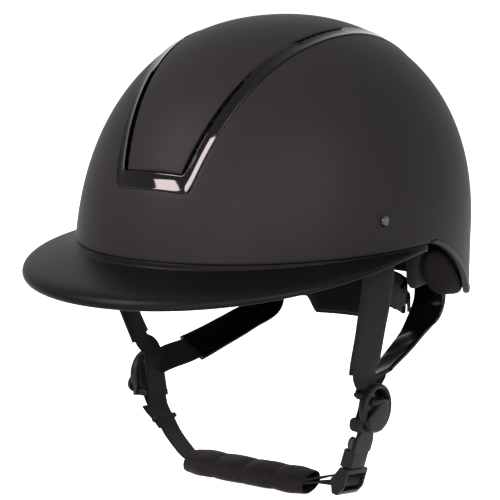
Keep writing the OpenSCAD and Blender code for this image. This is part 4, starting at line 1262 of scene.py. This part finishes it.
def hollow(name, outer, inner, material):
    """A tube with a wall, from rings of its outside and its inside."""
    outer, inner = np.asarray(outer), np.asarray(inner)
    count, sides = outer.shape[:2]
    size = count * sides
    faces = grid_faces(count, sides, True) + grid_faces(count, sides, True, size)
    for start in (0, (count - 1) * sides):
        for j in range(sides):
            a, b = start + j, start + (j + 1) % sides
            faces.append((a, b, size + b, size + a))
    points = np.concatenate([outer.reshape(-1, 3), inner.reshape(-1, 3)])
    uv = np.concatenate([grid_uv(outer), grid_uv(inner)])
    return new_piece(name, points, faces, material, uv)


def arc_round(centre, first, second, radius, angles):
    """Points round a centre, in the plane of two directions."""
    a = np.radians(angles)
    return centre + radius * (np.cos(a)[:, None] * first + np.sin(a)[:, None] * second)


print("ribbon helpers ready")

# %% Straps
LOOP_U, LOOP_RADIUS, LOOP_WIDTH = 5.4, 2.15, 9.6
LOOP_STEPS, FLAT_STEPS = 26, 24
BAR_WAY = np.array([0, C, -S])
FRONT_PATH = [[98.4, -34.2, 32], [99.3, -33.6, 18], [99.2, -32.4, 2], [97.8, -32, -12],
              [92.6, -30.4, -35], [83.9, -24.9, -62.8], [81.4, -20.7, -72]]
FRONT_WAYS = [[0.26, 0.965, 0]] * 5 + [[0.22, 0.975, 0], [0.1, 0.98, -0.08]]
REAR_PATH = [[61.6, 83.5, -18.6], [62, 84, -42], [59, 76, -57], [62.5, 56, -63.5],
             [66, 36, -69], [71, 10.5, -75.5], [75.4, -5.6, -78.2]]
REAR_WAYS = [[-1, 0, 0], [-1, 0, -0.1], [-0.97, -0.05, -0.25], [-0.93, -0.09, -0.37],
             [-0.88, -0.2, -0.42], [-0.69, -0.44, -0.57], [-0.3, -0.85, -0.3]]
FRONT_ENDS = [(-3.8, -5, 2), (-6.2, -5, -3.5), (-7.0, -4.6, -7.5), (-7.2, -3, -13),
              (-7.6, -1.4, -19), (-8.2, 0, -24.5), (-9.6, 0.3, -28.5)]
REAR_END_WAY = [-0.6, -0.44, -0.67]


def strap_line(path, ways, u, bar_way):
    """Dense points from the strap's top, round the bar and back up, with ways and widths."""
    centre = at_divider(UPPER_BAR[0], u, UPPER_BAR[1])
    points = np.array(path + [list(centre)], float)
    t = np.linspace(0, len(points) - 1, LOOP_STEPS * (len(points) - 1))
    line, dirs = spline_at(points, t), spline_at(ways + [list(bar_way)], t)
    keep = np.linalg.norm(line - centre, axis=1) > LOOP_RADIUS * 2.4
    line, dirs = line[keep], dirs[keep]
    down = centre - line[-1]
    down -= BAR_WAY * down.dot(BAR_WAY)
    down /= np.linalg.norm(down)
    out = np.cross(BAR_WAY, down)
    out *= np.sign(out[0])
    shift = smoothstep(0, 1, np.linspace(-3.2, 1, len(line)))[:, None] * out * LOOP_RADIUS
    loop = arc_round(centre, out, down, LOOP_RADIUS, np.linspace(10, 170, 16))
    back = [centre - out * side - down * s
            for side, s in ((LOOP_RADIUS, 1.5), (LOOP_RADIUS, 4.0), (1.55, 7.0))]
    full = np.concatenate([line + shift, loop, back])
    ways_full = np.concatenate([dirs, np.repeat([bar_way], len(loop) + len(back), axis=0)])
    far = np.linalg.norm(full - centre, axis=1)
    return full, ways_full, mix(LOOP_WIDTH, WEBBING_WIDTH, smoothstep(4.0, 10.0, far))


def add_strap(name, path, ways, u, bar_way, node):
    rings = ribbon_rings(*strap_line(path, ways, u, bar_way))
    put(loft(name, rings, webbing_cloth), "helmet", "webbing", node)


def add_flat_strap(name, path, ways, ends, node):
    """On the right the front strap lies flat over both bars, and the rear one ends behind it."""
    points = np.array(path + [list(at_divider(*end)) for end in ends], float)
    t = np.linspace(0, len(points) - 1, FLAT_STEPS * (len(points) - 1))
    rings = ribbon_rings(spline_at(points, t), spline_at(ways, t), WEBBING_WIDTH)
    put(loft(name, mirrored(rings), webbing_cloth), "helmet", "webbing", node)


add_strap("front_webbing_left", FRONT_PATH, FRONT_WAYS, -LOOP_U, BAR_WAY, "front_strap_left")
add_strap("rear_webbing_left", REAR_PATH, REAR_WAYS, LOOP_U, -BAR_WAY, "rear_strap_left")
add_flat_strap("front_webbing_right", FRONT_PATH[:6], FRONT_WAYS[:6] + [list(BAR_WAY)] * 7,
               FRONT_ENDS, "front_strap_right")
add_flat_strap("rear_webbing_right", REAR_PATH,
               REAR_WAYS[:5] + [[-0.66, -0.44, -0.6], REAR_END_WAY, REAR_END_WAY],
               [(-4, 0, -8.5)], "rear_strap_right")
print("strap width:", WEBBING_WIDTH, "mm")

# %% [markdown]
# The front sleeves are matte cloth tubes with cut ends; the rear ones are glossy and bend more.
# Both are hollow, a little wider than the strap, and their surface waves softly, so that the
# light breaks on it as on real padding.

# %% Sleeves
SLEEVE_WIDTH, SLEEVE_THICK, SLEEVE_STEPS, SLEEVE_SEAM = 23.0, 3.2, 170, -0.66
BORE_HALF_WIDTH, BORE_HALF_THICK = 9.7, 0.82
REAR_CREASES = ((0.16, 0.03, 0.5), (0.24, -0.05, 0.45), (0.33, 0.07, 0.5), (0.42, 0.06, 0.4))


def sleeve_rings(path, ways, first, last, seed, puffed, creases):
    """creases are (place along, slant, depth) of sharp folds; a seam runs along one edge."""
    t = np.linspace(first, last, SLEEVE_STEPS)
    line = spline_at(path, t)
    way, face = frames(line, spline_at(ways, t))
    a, b = np.hsplit(flat_section(44, 0.62), 2)
    outer, inner = [], []
    for i, s in enumerate(np.linspace(0, 1, SLEEVE_STEPS)):
        wave = puffed * (ripple(s * 15, a * 1.7 + b, seed)
                         + 0.4 * ripple(s * 34, a * 4.0, seed + 1))
        for place, slant, depth in creases:
            fold = depth * np.exp(-((s - place - slant * a) / 0.02) ** 2)
            wave = wave - fold * np.clip(1 - 0.4 * a, 0, 1)
        wave = wave - 0.30 * puffed * np.exp(-((a - SLEEVE_SEAM) / 0.06) ** 2)
        thick = (SLEEVE_THICK / 2 * (1 + 0.08 * math.sin(s * 7 + seed))
                 + wave * (1 - 0.7 * np.abs(a) ** 4))
        width = SLEEVE_WIDTH / 2 * (1 + 0.012 * math.sin(s * 17 + seed))
        outer.append(line[i] + way[i] * a * width + face[i] * b * thick)
        inner.append(line[i] + way[i] * a * BORE_HALF_WIDTH + face[i] * b * BORE_HALF_THICK)
    return outer, inner


def add_sleeve(name, rings, side, material, slot, node):
    outer, inner = (mirrored(part) if side < 0 else part for part in rings)
    put(hollow(name, outer, inner, material), "helmet", slot, node)


for side, word in SIDES:
    add_sleeve("front_cover_" + word,
               sleeve_rings(FRONT_PATH, FRONT_WAYS, 2, 5, 4 + side, 0.13, ()), side,
               sleeve_matte, "matte_sleeve", "front_sleeve_" + word)
    add_sleeve("rear_cover_" + word,
               sleeve_rings(REAR_PATH, REAR_WAYS, 0.5, 5, 9 + side, 0.4, REAR_CREASES), side,
               sleeve_patent, "gloss_sleeve", "rear_sleeve_" + word)
print("sleeves: 4")

# %% [markdown]
# ## Moulded hardware
# Dividers and buckle are moulded plastic: plates with rounded edges and rings with a rounded
# section. Two helpers make them. A plate is an outline that shrinks towards both faces, and a
# hoop is a rounded section between an outer and an inner outline. Joining their meshes gives one
# piece, and each part keeps its own clean rows.

# %% Plates, hoops and rods
def rounded_outline(half_a, half_b, radius, centre=(0, 0), steps=6):
    return np.array([(centre[0] + sa * (half_a - radius) + radius * math.cos(a),
                      centre[1] + sb * (half_b - radius) + radius * math.sin(a))
                     for k, (sa, sb) in enumerate(((1, 1), (-1, 1), (-1, -1), (1, -1)))
                     for a in np.radians(np.linspace(90 * k, 90 * k + 90, steps))])


def shrunk(outline, distance):
    """The outline moved inwards along its own normals."""
    after = np.roll(outline, -1, axis=0)
    ahead = after - np.roll(outline, 1, axis=0)
    normal = np.stack([ahead[:, 1], -ahead[:, 0]], axis=1) / np.linalg.norm(ahead, axis=1)[:, None]
    area = np.sum(outline[:, 0] * after[:, 1] - outline[:, 1] * after[:, 0])
    return outline - normal * np.sign(area) * distance


def plate(name, outline, low, high, place, material, edge=0.5, crown=0.0, mirror=False):
    """place(a, b, h) puts outline points (a, b) at height h; crown domes the high face."""
    outline = np.asarray(outline, float)
    turns = np.radians(np.linspace(0, 90, 6))
    levels = [(edge * (1 - math.sin(a)), low + edge * (1 - math.cos(a))) for a in turns]
    levels += [(edge * (1 - math.cos(a)), high - edge * (1 - math.sin(a))) for a in turns]
    layers = [(shrunk(outline, inset), h) for inset, h in levels]
    rim, middle = layers[-1][0], outline.mean(0)
    layers += [(middle + (rim - middle) * f, high + crown * (1 - f * f))
               for f in (0.9, 0.75, 0.55, 0.3, 0.1)]
    rings = [place(flat[:, 0], flat[:, 1], np.full(len(flat), h)) for flat, h in layers]
    return loft(name, mirrored(rings) if mirror else rings, material)


def hoop(name, outer, inner, low, high, place, material, edge=0.6, mirror=False):
    """A closed ring whose section runs from the inner to the outer outline and from low to high."""
    rings = []
    for p, q in zip(outer, inner):
        span = np.linalg.norm(p - q)
        soft = min(edge, span * 0.48, (high - low) * 0.48)
        corner = rounded_outline(span / 2, (high - low) / 2, soft,
                                 (span / 2, (low + high) / 2), 5)
        plane = q + (p - q) * corner[:, :1] / span
        rings.append(place(plane[:, 0], plane[:, 1], corner[:, 1]))
    rings = mirrored(rings) if mirror else np.array(rings)
    count, sides = rings.shape[:2]
    faces = grid_faces(count, sides, True, closed=True)
    return new_piece(name, rings.reshape(-1, 3), faces, material, grid_uv(rings))


def rod(name, line, radii, place, material, mirror):
    """A round bar along u: line gives (w, v, u) per ring and radii its radius there."""
    a = np.radians(np.linspace(0, 360, 32, endpoint=False))
    rings = [place(w + r * np.cos(a), u + 0 * a, v + r * np.sin(a))
             for (w, v, u), r in zip(line, radii)]
    return loft(name, mirrored(rings) if mirror else rings, material)


def bar_along(name, w, v, half, radius, place, material, edge=0.35, mirror=False):
    u = [-half, -half + edge * 0.3, -half + edge, half - edge, half - edge * 0.3, half]
    r = [radius - edge, radius - edge * 0.3, radius, radius, radius - edge * 0.3, radius - edge]
    return rod(name, [(w, v, x) for x in u], r, place, material, mirror)


def joined(name, pieces):
    """Several pieces of one material as one object with one mesh."""
    work = bmesh.new()
    for piece in pieces:
        work.from_mesh(piece.data)
    mesh = bpy.data.meshes.new(name)
    work.to_mesh(mesh)
    work.free()
    mesh.materials.append(pieces[0].data.materials[0])
    result = bpy.data.objects.new(name, mesh)
    scene.collection.objects.link(result)
    for piece in pieces:
        bpy.data.objects.remove(piece)
    return result


print("hardware helpers ready")

# %% [markdown]
# ### Dividers
# Each divider is a thick ring with a bar behind it at the top and at the bottom, held by small
# ears. The cam lever lies in front of the ring: a shaped tongue on a round barrel, which turns on
# a thin pin. Opening the lever frees the straps. The right one has shorter bars and ears.

# %% Dividers
RING_OUT, RING_BORE, BAR_REACH, BAR_RADIUS = 14.6, 11.4, 11.0, 1.4
RING_BACK, RING_FRONT, TAB_FRONT, TONGUE_BACK, TONGUE_FRONT = -1.0, 4.2, 1.4, 4.3, 6.75
UPPER_THICK, LOWER_THICK = 1.1, 2.0
CAM_W, CAM_V = 4.4, RING_V + 3.6
TAB = [(-13, -28.5), (9.6, -28.5), (12.0, -26.4), (12.9, -22.4), (11.2, -21.0), (7.5, -25.4),
       (3.8, -27.1), (0, -27.6), (-3.8, -27.1), (-7.5, -25.4), (-11.2, -21.0), (-13, -22.4)]
TONGUE = [(1.6, 4.2), (5.0, 3.8), (7.2, 2.0), (7.5, -1.0), (7.0, -3.6), (5.7, -7.0),
          (4.0, -9.6), (1.4, -11.8), (-2.0, -13.2), (-5.6, -13.4), (-9.6, -12.2),
          (-12.4, -9.8), (-13.0, -7.0), (-11.8, -3.9), (-8.9, -1.5), (-5.3, 1.35), (-1.9, 3.6)]


def circle(radius, centre=(0, 0)):
    a = np.radians(np.linspace(0, 360, 96, endpoint=False))
    return np.column_stack([centre[0] + radius * np.cos(a), centre[1] + radius * np.sin(a)])


def in_face(u, v, w):
    """Outline in (u, v), height along w: parts that lie in the divider's face."""
    return at_divider(w, u, v)


def across_bar(w, v, u):
    """Outline in (w, v), height along u: the ears at a bar's ends."""
    return at_divider(w, u, v)


def add_ears(w, v, mirror):
    if v > RING_V:
        low, high, thick = v - 1.3, v + 1.3, UPPER_THICK
    else:
        low, high, thick = v - 2, v + (2 if mirror else 6.4), LOWER_THICK
    reach = BAR_REACH - (1.6 if mirror else 0)
    corner = 1.2 if mirror or v > RING_V else 3.3
    ear = rounded_outline((-w + 2.2) / 2, (high - low) / 2, corner, (w / 2 - 1.1, (low + high) / 2))
    seats = [u * (reach + thick / 2) for u in (-1, 1)]
    return [plate("ear", ear, seat - thick / 2, seat + thick / 2, across_bar, buckle_plastic,
                  min(0.9, thick * 0.45), mirror=mirror) for seat in seats]


def add_divider(word, mirror):
    ring, bore = (circle(radius, (0, RING_V)) for radius in (RING_OUT, RING_BORE))
    parts = [hoop("ring", ring, bore, RING_BACK, RING_FRONT, in_face, buckle_plastic, 1.35,
                  mirror)]
    for w, v in (UPPER_BAR, LOWER_BAR):
        parts.append(bar_along("bar", w, v, BAR_REACH + (0.4 if mirror else 1), BAR_RADIUS,
                               at_divider, buckle_plastic, mirror=mirror))
        parts += add_ears(w, v, mirror)
    parts.append(plate("tab", TAB, RING_BACK, TAB_FRONT, in_face, buckle_plastic, 0.45,
                       mirror=mirror))
    put(joined("divider_body_" + word, parts), "helmet", "divider", "divider_" + word)


def add_lever(word, mirror):
    outline = smooth_path([(u, v + RING_V) for u, v in TONGUE], 120, closed=True)
    tongue = plate("tongue", outline, TONGUE_BACK, TONGUE_FRONT, in_face, lever_plastic, 0.95,
                   0.28, mirror)
    barrel = rod("barrel", [(CAM_W, CAM_V, u) for u in (-9.6, -9.5, -9.2, 6.6, 6.9, 7.0)],
                 [1.5, 1.75, 1.9, 1.9, 1.75, 1.5], at_divider, lever_plastic, mirror)
    put(joined("cam_tongue_" + word, [tongue, barrel]), "cam_lever_" + word, "lever",
        "cam_lever_" + word)
    pin = bar_along("cam_pin_" + word, CAM_W, CAM_V, 10.4, 1.2, at_divider, slot_black, 0.25,
                    mirror)
    put(pin, "helmet", "pin", "lever_pin_" + word)


for side, word in SIDES:
    add_divider(word, side < 0)
    add_lever(word, side < 0)
print("ring bore:", 2 * RING_BORE, "mm")

# %% [markdown]
# Behind each ring the webbing's sewn end hangs down to the lower bar. It fills the ring, so that
# no light shows through.

# %% Webbing ends behind the rings
FLAP = [(-1.9, -1.0), (-1.8, -3.0), (-1.8, -6.0), (-1.9, -10), (-2.3, -14), (-3.1, -18),
        (-4.3, -21.6), (-6.2, -23.6)]
FLAP_HALF_WIDTH, FLAP_REACH = 12.6, 14.3


def add_flap(word, mirror, material):
    """The band's middle follows FLAP's places (w, v); its sides stay inside the ring's outline."""
    line = smooth_path([(w, 0, v) for w, v in FLAP], 90)
    _, face = frames(line, np.repeat([[0, 1, 0]], len(line), axis=0))
    across, thick = flat_section().T
    rings = []
    for point, normal in zip(line, face):
        half = min(FLAP_HALF_WIDTH, math.sqrt(FLAP_REACH ** 2 - (point[2] - RING_V) ** 2))
        rings.append(at_divider(point[0] + normal[0] * thick * WEBBING / 2, across * half,
                                point[2] + normal[2] * thick * WEBBING / 2))
    put(loft("webbing_end_" + word, mirrored(rings) if mirror else rings, material), "helmet",
        "webbing")


add_flap("left", False, sleeve_patent)
add_flap("right", True, webbing_cloth)
print("webbing ends: 2")

# %% [markdown]
# ### Buckle
# The socket hangs on the near divider's lower bar by its eye. Below it a collar takes the
# insert's two prongs, whose rounded catches rest above the collar, where fingers can squeeze
# them. Under the collar lies the insert's frame with a window and a bar for the webbing.

# %% Socket and insert
ADJUSTER_Z, ADJUSTER_RADIUS = -34.3, 2.1
PRONG_BACK, PRONG_FRONT, PRONG_AT, PRONG_SLIM = -0.7, 1.9, 6.9, 0.93
COLLAR_LOW, COLLAR_HIGH, EYE_HALF = -25.0, -14.5, 6
COLLAR = [(3.8, 7.3), (0.9, 10), (-2.2, 10), (-3.8, 8.2), (-3.8, -8.2), (-2.2, -10),
          (0.9, -10), (3.8, -7.3)]
FACE = [(-9, -15), (9, -15), (9, -7.5), (6.6, -1.5), (-6.6, -1.5), (-9, -7.5)]
CHEEK = [(4.4, -25.3), (4.4, -36.5), (1.4, -42.3), (-2.4, -42.3), (-5.9, -34.6),
         (-2.6, -27.6), (-1.6, -25.3)]
TOP_BAR = [(4.4, -25.3), (4.4, -28.3), (-1.8, -28.3), (-1.6, -25.3)]
LOW_BAR = [(3.2, -39.2), (1.4, -42.3), (-2.4, -42.3), (-3.4, -40.2)]
PRONG = [(1.9, -24.9), (1.9, -20), (1.9, -15.5), (2.4, -14.0), (4.0, -12.8), (5.2, -11.0),
         (5.6, -9.0), (5.1, -7.0), (3.5, -5.8), (1.5, -5.6), (-0.3, -6.6), (-1.1, -8.5),
         (-1.3, -11), (-1.3, -15), (-1.3, -20), (-1.3, -24.9)]


def upright(u, z, w):
    """Outline in (u, z), height along w: plates that lie in the buckle's face."""
    return at_buckle(w, u, z)


def sideways(w, z, u):
    """Outline in (w, z), height along u: parts that run across the webbing."""
    return at_buckle(w, u, z)


def softened(corners, soft, scale=(1, 1)):
    """A polygon with flat sides and softly rounded corners."""
    corners = np.asarray(corners, float)
    points = []
    for before, at, after in zip(np.roll(corners, 1, axis=0), corners,
                                 np.roll(corners, -1, axis=0)):
        first, last = (at + (end - at) / np.linalg.norm(end - at) * soft
                       for end in (before, after))
        points += [bent(first, at, last, s) for s in np.linspace(0, 1, 5)]
    return np.array(points) * scale


def buckle_plate(name, outline, low, high, place, edge, crown=0.0):
    return plate(name, outline, low, high, place, buckle_plastic, edge, crown)


def add_socket():
    parts = [hoop("collar", softened(COLLAR, 0.5), softened(COLLAR, 0.5, (0.72, 0.9)),
                  COLLAR_LOW, COLLAR_HIGH, at_buckle, buckle_plastic, 0.35),
             buckle_plate("face", softened(FACE, 1.6), 2.2, 3.8, upright, 0.5, 0.1),
             buckle_plate("post", rounded_outline(3, 6.5, 0.9, (0, -8.5)), -1.6, 1.6, upright, 0.5),
             buckle_plate("block", rounded_outline(6, 2.1, 0.8, (0, -2.9)), 0.2, 3.8, upright, 0.5),
             hoop("eye", circle(3.5), circle(1.5), -EYE_HALF, EYE_HALF, sideways,
                  buckle_plastic)]
    put(joined("socket", parts), "helmet", "buckle", "buckle_socket")


def add_insert():
    parts = [buckle_plate("cheek", softened(CHEEK, 0.7), low, low + 1.9, sideways, 0.4)
             for low in (-11.0, 9.1)]
    parts += [buckle_plate("bar", softened(bar, 0.6), -9.6, 9.6, sideways, 0.3)
              for bar in (TOP_BAR, LOW_BAR)]
    tongue = rounded_outline(4.2, 4.0, 1.0, (0, -21.6))
    back = rounded_outline(9.4, 1.3, 0.5, (0, -39.6))
    parts += [buckle_plate("tongue", tongue, PRONG_BACK, PRONG_FRONT, upright, 0.5),
              buckle_plate("back", back, -3.6, -2.8, upright, 0.2)]
    put(joined("insert", parts), "chin_strap", "buckle", "buckle_insert")
    adjuster = bar_along("adjuster_rod", 0, ADJUSTER_Z, 10.9, ADJUSTER_RADIUS, at_buckle,
                         buckle_plastic, 0.4)
    put(adjuster, "chin_strap", "buckle", "adjuster_bar")


def add_prong(word, side):
    outline = [(side * (PRONG_AT + u * PRONG_SLIM), z) for u, z in PRONG]
    piece = plate("prong_arm_" + word, smooth_path(outline, 110, closed=True), PRONG_BACK,
                  PRONG_FRONT, upright, prong_plastic, 0.75, 0.25)
    put(piece, "prong_" + word, "prong", "prong_" + word)


add_socket()
add_insert()
add_prong("front", -1)
add_prong("rear", 1)
print("buckle leans", round(math.degrees(BUCKLE_LEAN)), "degrees")

# %% [markdown]
# ## Chin webbing, keeper and tail
# One length of webbing runs from the far divider's lower bar through the chin pad to the buckle,
# round the adjuster's bar and back into the pad. The loose end sits in a keeper beside the far
# bar. The whole route is one path in the harness frame, with arcs round both bars.

# %% Chin webbing
FAR_BAR = np.array([-(DIVIDER_X + LOWER_BAR[0]), LOWER_BAR[1]])
PAD_FROM, PAD_LENGTH, PAD_LEAN = -45.0, 90.0, math.radians(20)
WRAP = ADJUSTER_RADIUS + 0.02 + WEBBING / 2
TOP_RUN = [(20, -64.2), (30, -64.2), (40, -64.15), (47, -62.7), (54, -60.2), (60, -58.4),
           (65, -57.4)]
LOW_RUN = [(66, -62.6), (60, -62.7), (54, -63.1), (47, -64.5), (40, -65.7), (20, -65.75),
           (-10, -65.75), (-34, -65.6), (-45.5, -62.8), (-53.6, -57.4), (-62.4, -49.6)]
TAIL = [(12.2, -20.7), (9.6, -18.2), (6.6, -15.8), (3.2, -13.6), (0.2, -11.2), (-2.2, -8.8)]


def by_far_bar(places):
    return [tuple(FAR_BAR + p) for p in places]


def arc(centre, radius, first, last, count):
    return [(centre[0] + radius * math.cos(a), centre[1] + radius * math.sin(a))
            for a in np.radians(np.linspace(first, last, count))]


def chin_route():
    """Places (across, up) from the return end, round the adjuster, to the loop on the far bar."""
    adjuster = (DIVIDER_X + LOWER_BAR[0] + ADJUSTER_Z * math.sin(BUCKLE_LEAN) - 0.6,
                LOWER_BAR[1] + ADJUSTER_Z * math.cos(BUCKLE_LEAN))
    return (TOP_RUN + arc(adjuster, WRAP, 90, -90, 13) + LOW_RUN
            + by_far_bar([(9.4, -14.2), (6.4, -10.8), (4.0, -7.2)])
            + arc(FAR_BAR, LOOP_RADIUS, -30, 215, 16)
            + by_far_bar([(-0.2, -4.2), (2.7, -8.3), (5.4, -11.7)]))


def ribbon_in_plane(name, route, width, count, twist=0.0):
    """Webbing along places (across, up); twist is how far it leans inside the pad."""
    x, _, v = smooth_path([(x, 0, v) for x, v in route], count).T
    last = PAD_FROM + PAD_LENGTH
    lean = twist * (smoothstep(PAD_FROM + 4, PAD_FROM + 20, x)
                    * (1 - smoothstep(last - 20, last - 4, x)))[:, None]
    ways = np.cos(lean) * BAR_WAY + np.sin(lean) * np.array([0, S, C])
    return loft(name, ribbon_rings(harness(x, 0, v), ways, width), webbing_cloth)


put(ribbon_in_plane("chin_ribbon", chin_route(), WEBBING_WIDTH, 620, PAD_LEAN), "chin_strap",
    "webbing", "chin_webbing")
put(ribbon_in_plane("loose_end", by_far_bar(TAIL), 17.5, 90), "chin_strap", "webbing",
    "webbing_tail")
print("route points:", len(chin_route()))

# %% Keeper
KEEPER_SLOPE = math.radians(48)


def keeper_place(a, b, h):
    """Outline in (across the stack, along the width), height along the strap."""
    x, v = FAR_BAR + (9.1, -14.9)
    c, s = math.cos(KEEPER_SLOPE), math.sin(KEEPER_SLOPE)
    return harness(x + h * c + a * s, b, v - h * s + a * c)


keeper = hoop("webbing_band", rounded_outline(3.2, 9.7, 1.2, steps=12),
              rounded_outline(2.5, 9.15, 0.8, steps=12), -1.3, 1.3, keeper_place, webbing_cloth,
              0.3)
put(keeper, "chin_strap", "keeper", "webbing_keeper")
seams = [[keeper_place(3.3, b, h) for b in np.linspace(-8.2, 8.2, 16)] for h in (-0.7, 0.7)]
put(repeated("keeper_stitches", seams, stitch_tree), "chin_strap", "keeper")
print("keeper stitched")

# %% [markdown]
# ## Chin pad
# The pad is a soft leather sleeve sewn into four puffs, open at both ends where the webbing
# enters. Its section leans with the chin. Its outside swells between the seams, with creases that
# run out from each seam and fade; its narrower mouths show a thin rolled rim.

# %% Chin pad
CHIN_V, PAD_WIDTH, PAD_THICK, PUFFS = -65.0, 24.0, 13.0, 4
CHIN_BORE = 9.6


def leaning(x, u, v):
    """A place in the pad's section, turned by the pad's lean about its middle line."""
    c, s = math.cos(PAD_LEAN), math.sin(PAD_LEAN)
    return harness(x, u * c - v * s, CHIN_V + u * s + v * c)


def pad_rings(stations=260, sides=72):
    a = np.radians(np.linspace(0, 360, sides, endpoint=False))
    outer, inner = [], []
    for f in np.linspace(0, 1, stations):
        s, end = f * PUFFS, min(f, 1 - f)
        near = abs(s - round(s)) if 0 < round(s) < PUFFS else 1
        swell = mix(0.85, 1, math.sqrt(1 - (1 - min(near * 2, 1)) ** 2))
        taper = smoothstep(0, 0.13, end)
        crease = 0.55 * ripple(a * 7.0, s * 3.0, 21, 1.5) * math.exp(-(near / 0.16) ** 2)
        grow = 1 + (crease + 0.3 * ripple(a * 2.5, s * 5, 23)) / 13
        rim = 1 - 0.05 * math.exp(-(end / 0.012) ** 2)
        half_u = mix(10.3, PAD_WIDTH / 2, taper) * mix(1, swell, 0.5) * rim
        half_v = mix(6.0, PAD_THICK / 2, taper) * swell * rim
        x = PAD_FROM + PAD_LENGTH * f
        outer.append(leaning(x, half_u * spow(np.cos(a), 0.85) * grow,
                             half_v * spow(np.sin(a), 0.85) * grow))
        mouth = 1 - min(end / 0.16, 1)
        inner.append(leaning(x, CHIN_BORE * spow(np.cos(a), mix(0.35, 0.8, mouth)),
                             mix(1.6, 5.2, mouth) * spow(np.sin(a), mix(0.5, 0.8, mouth))))
    return outer, inner


chin_pad = put(hollow("chin_cushion", *pad_rings(), chin_leather), "chin_strap", "chin_leather",
               "chin_pad")
print("chin pad points:", len(chin_pad.data.vertices))

# %% [markdown]
# ## Nape cradle
# A moulded band cups the nape and tightens with the dial. It is a rounded rectangle carried round
# the head, with a lobe below its middle and ends that draw in. The pad in front of it is sewn
# like the brow band.

# %% Cradle
CRADLE_Y, CRADLE_R, DIAL_Z = 15.0, 73.0, -42.0
BAND_FROM, BAND_TO, BAND_THICK, BAND_TOP, BAND_ROUND = 42, 138, 2.5, -25.0, 3.0
BAND_LOW, LOBE_LOW = -49, -60


def round_cradle(angle, radius, z):
    a = np.radians(angle)
    return np.stack([radius * np.cos(a), CRADLE_Y + radius * np.sin(a), z + 0 * a], axis=-1)


def band_low(angle):
    """The lower edge's height, with the lobe between 68 and 112 degrees."""
    lobe = smoothstep(65, 71, angle) * (1 - smoothstep(109, 115, angle))
    return mix(BAND_LOW, LOBE_LOW, lobe)


def band_rings(stations=150):
    rings = []
    for s in np.linspace(0, 1, stations):
        angle = mix(BAND_FROM, BAND_TO, s)
        low = float(band_low(angle))
        reach = min(s, 1 - s) * (BAND_TO - BAND_FROM) * math.radians(CRADLE_R)
        shrink = math.sqrt(1 - (1 - min(reach / BAND_ROUND, 1)) ** 2)
        half = max((BAND_TOP - low) / 2 - BAND_ROUND * (1 - shrink), 0.4)
        section = rounded_outline(BAND_THICK / 2, half, min(0.9, half * 0.9),
                                  (CRADLE_R + BAND_THICK / 2, (low + BAND_TOP) / 2), 7)
        rings.append(round_cradle(angle, section[:, 0], section[:, 1]))
    return rings


cradle = put(loft("cradle_band", band_rings(), cradle_plastic), "cradle", "cradle", "nape_cradle")
print("cradle points:", len(cradle.data.vertices))

# %% Nape cushion
def nape_cushion():
    u, v = np.meshgrid(np.linspace(0, 1, 120), np.linspace(0, 1, 44))
    angle = mix(58, 122, u)
    low = mix(-48, -58, smoothstep(67, 73, angle) * (1 - smoothstep(107, 113, angle)))
    z = mix(low, -27, v)
    swell = puff(v) * puff(u, 0.2) * channels(u, 3, 0.12, 0.07)
    swell = flat_border(swell + 0.02 * ripple(u * 40, v * 18, 31) * puff(v))
    back = round_cradle(angle, CRADLE_R - 0.2, z)
    front = round_cradle(angle, CRADLE_R - 0.5 - 3.1 * swell, z)
    front[[0, -1]] = back[[0, -1]]
    front[:, [0, -1]] = back[:, [0, -1]]
    return pad_between("nape_cushion", back, front, nape_cloth)


nape = put(nape_cushion(), "cradle", "padding", "nape_pad")
print("nape cushion points:", len(nape.data.vertices))

# %% [markdown]
# ## Dial
# The knob that tightens the cradle has finger grooves round it and a flat ring on its face. Its
# outline is a circle with soft scallops, and the plate helper rounds its edges.

# %% Dial
KNOB_Y, KNOB_HIGH, KNOB_R = 95.5, 9.0, 15.0
GROOVES, GROOVE_DEPTH, GROOVE_EDGE = 18, 1.15, -0.15


def knob_place(a, b, h):
    return np.stack([a, KNOB_Y + h, DIAL_Z + b], axis=-1)


def add_knob():
    a = np.linspace(0, 2 * math.pi, 432, endpoint=False)
    wave = np.cos(GROOVES * a)
    radius = KNOB_R - GROOVE_DEPTH * np.clip(wave, GROOVE_EDGE, 1) ** 2 * (wave > GROOVE_EDGE)
    outline = np.column_stack([radius * np.cos(a), radius * np.sin(a)])
    body = plate("knob", outline, 0.0, KNOB_HIGH, knob_place, dial_plastic, 1.2)
    step = hoop("step", 9.8 * outline / KNOB_R, 8.6 * outline / KNOB_R, KNOB_HIGH - 0.4,
                KNOB_HIGH, knob_place, dial_plastic, 0.15)
    put(joined("dial_grip", [body, step]), "dial", "dial", "dial_knob")


add_knob()
print("knob grooves:", GROOVES)

# %% [markdown]
# ## The rest of the solids
# The housing, belts, arms, pins and rivets are right as solids. They keep their meshes, get a
# narrow bevel from modifiers, and their finish. A weld comes first, because the triangles are
# loose.

# %% Finishes on the kept solids
WELD_GAP, BEVEL_FROM = 0.00002, 35
KEPT = {"dial_housing": (dial_plastic, 0.5), "dial_pinion": (pinion_plastic, 0.08),
        "belt_left": (edging, 0.15), "belt_right": (edging, 0.15),
        "cradle_arm_left": (cradle_plastic, 0.4), "cradle_arm_right": (cradle_plastic, 0.4),
        "temple_pins": (steel, 0.2), "anchor_rivets": (rivet_gloss, 0.3)}


def dress(piece, material, width):
    piece.data.materials.clear()
    piece.data.materials.append(material)
    close = piece.modifiers.new("weld", "WELD")
    close.merge_threshold = WELD_GAP
    bevel = piece.modifiers.new("bevel", "BEVEL")
    bevel.width, bevel.segments = width * MM, 2
    bevel.limit_method, bevel.angle_limit = "ANGLE", math.radians(BEVEL_FROM)
    bevel.harden_normals = True


for node, (material, width) in KEPT.items():
    dress(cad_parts[node], material, width)
print("solids kept:", len(KEPT))
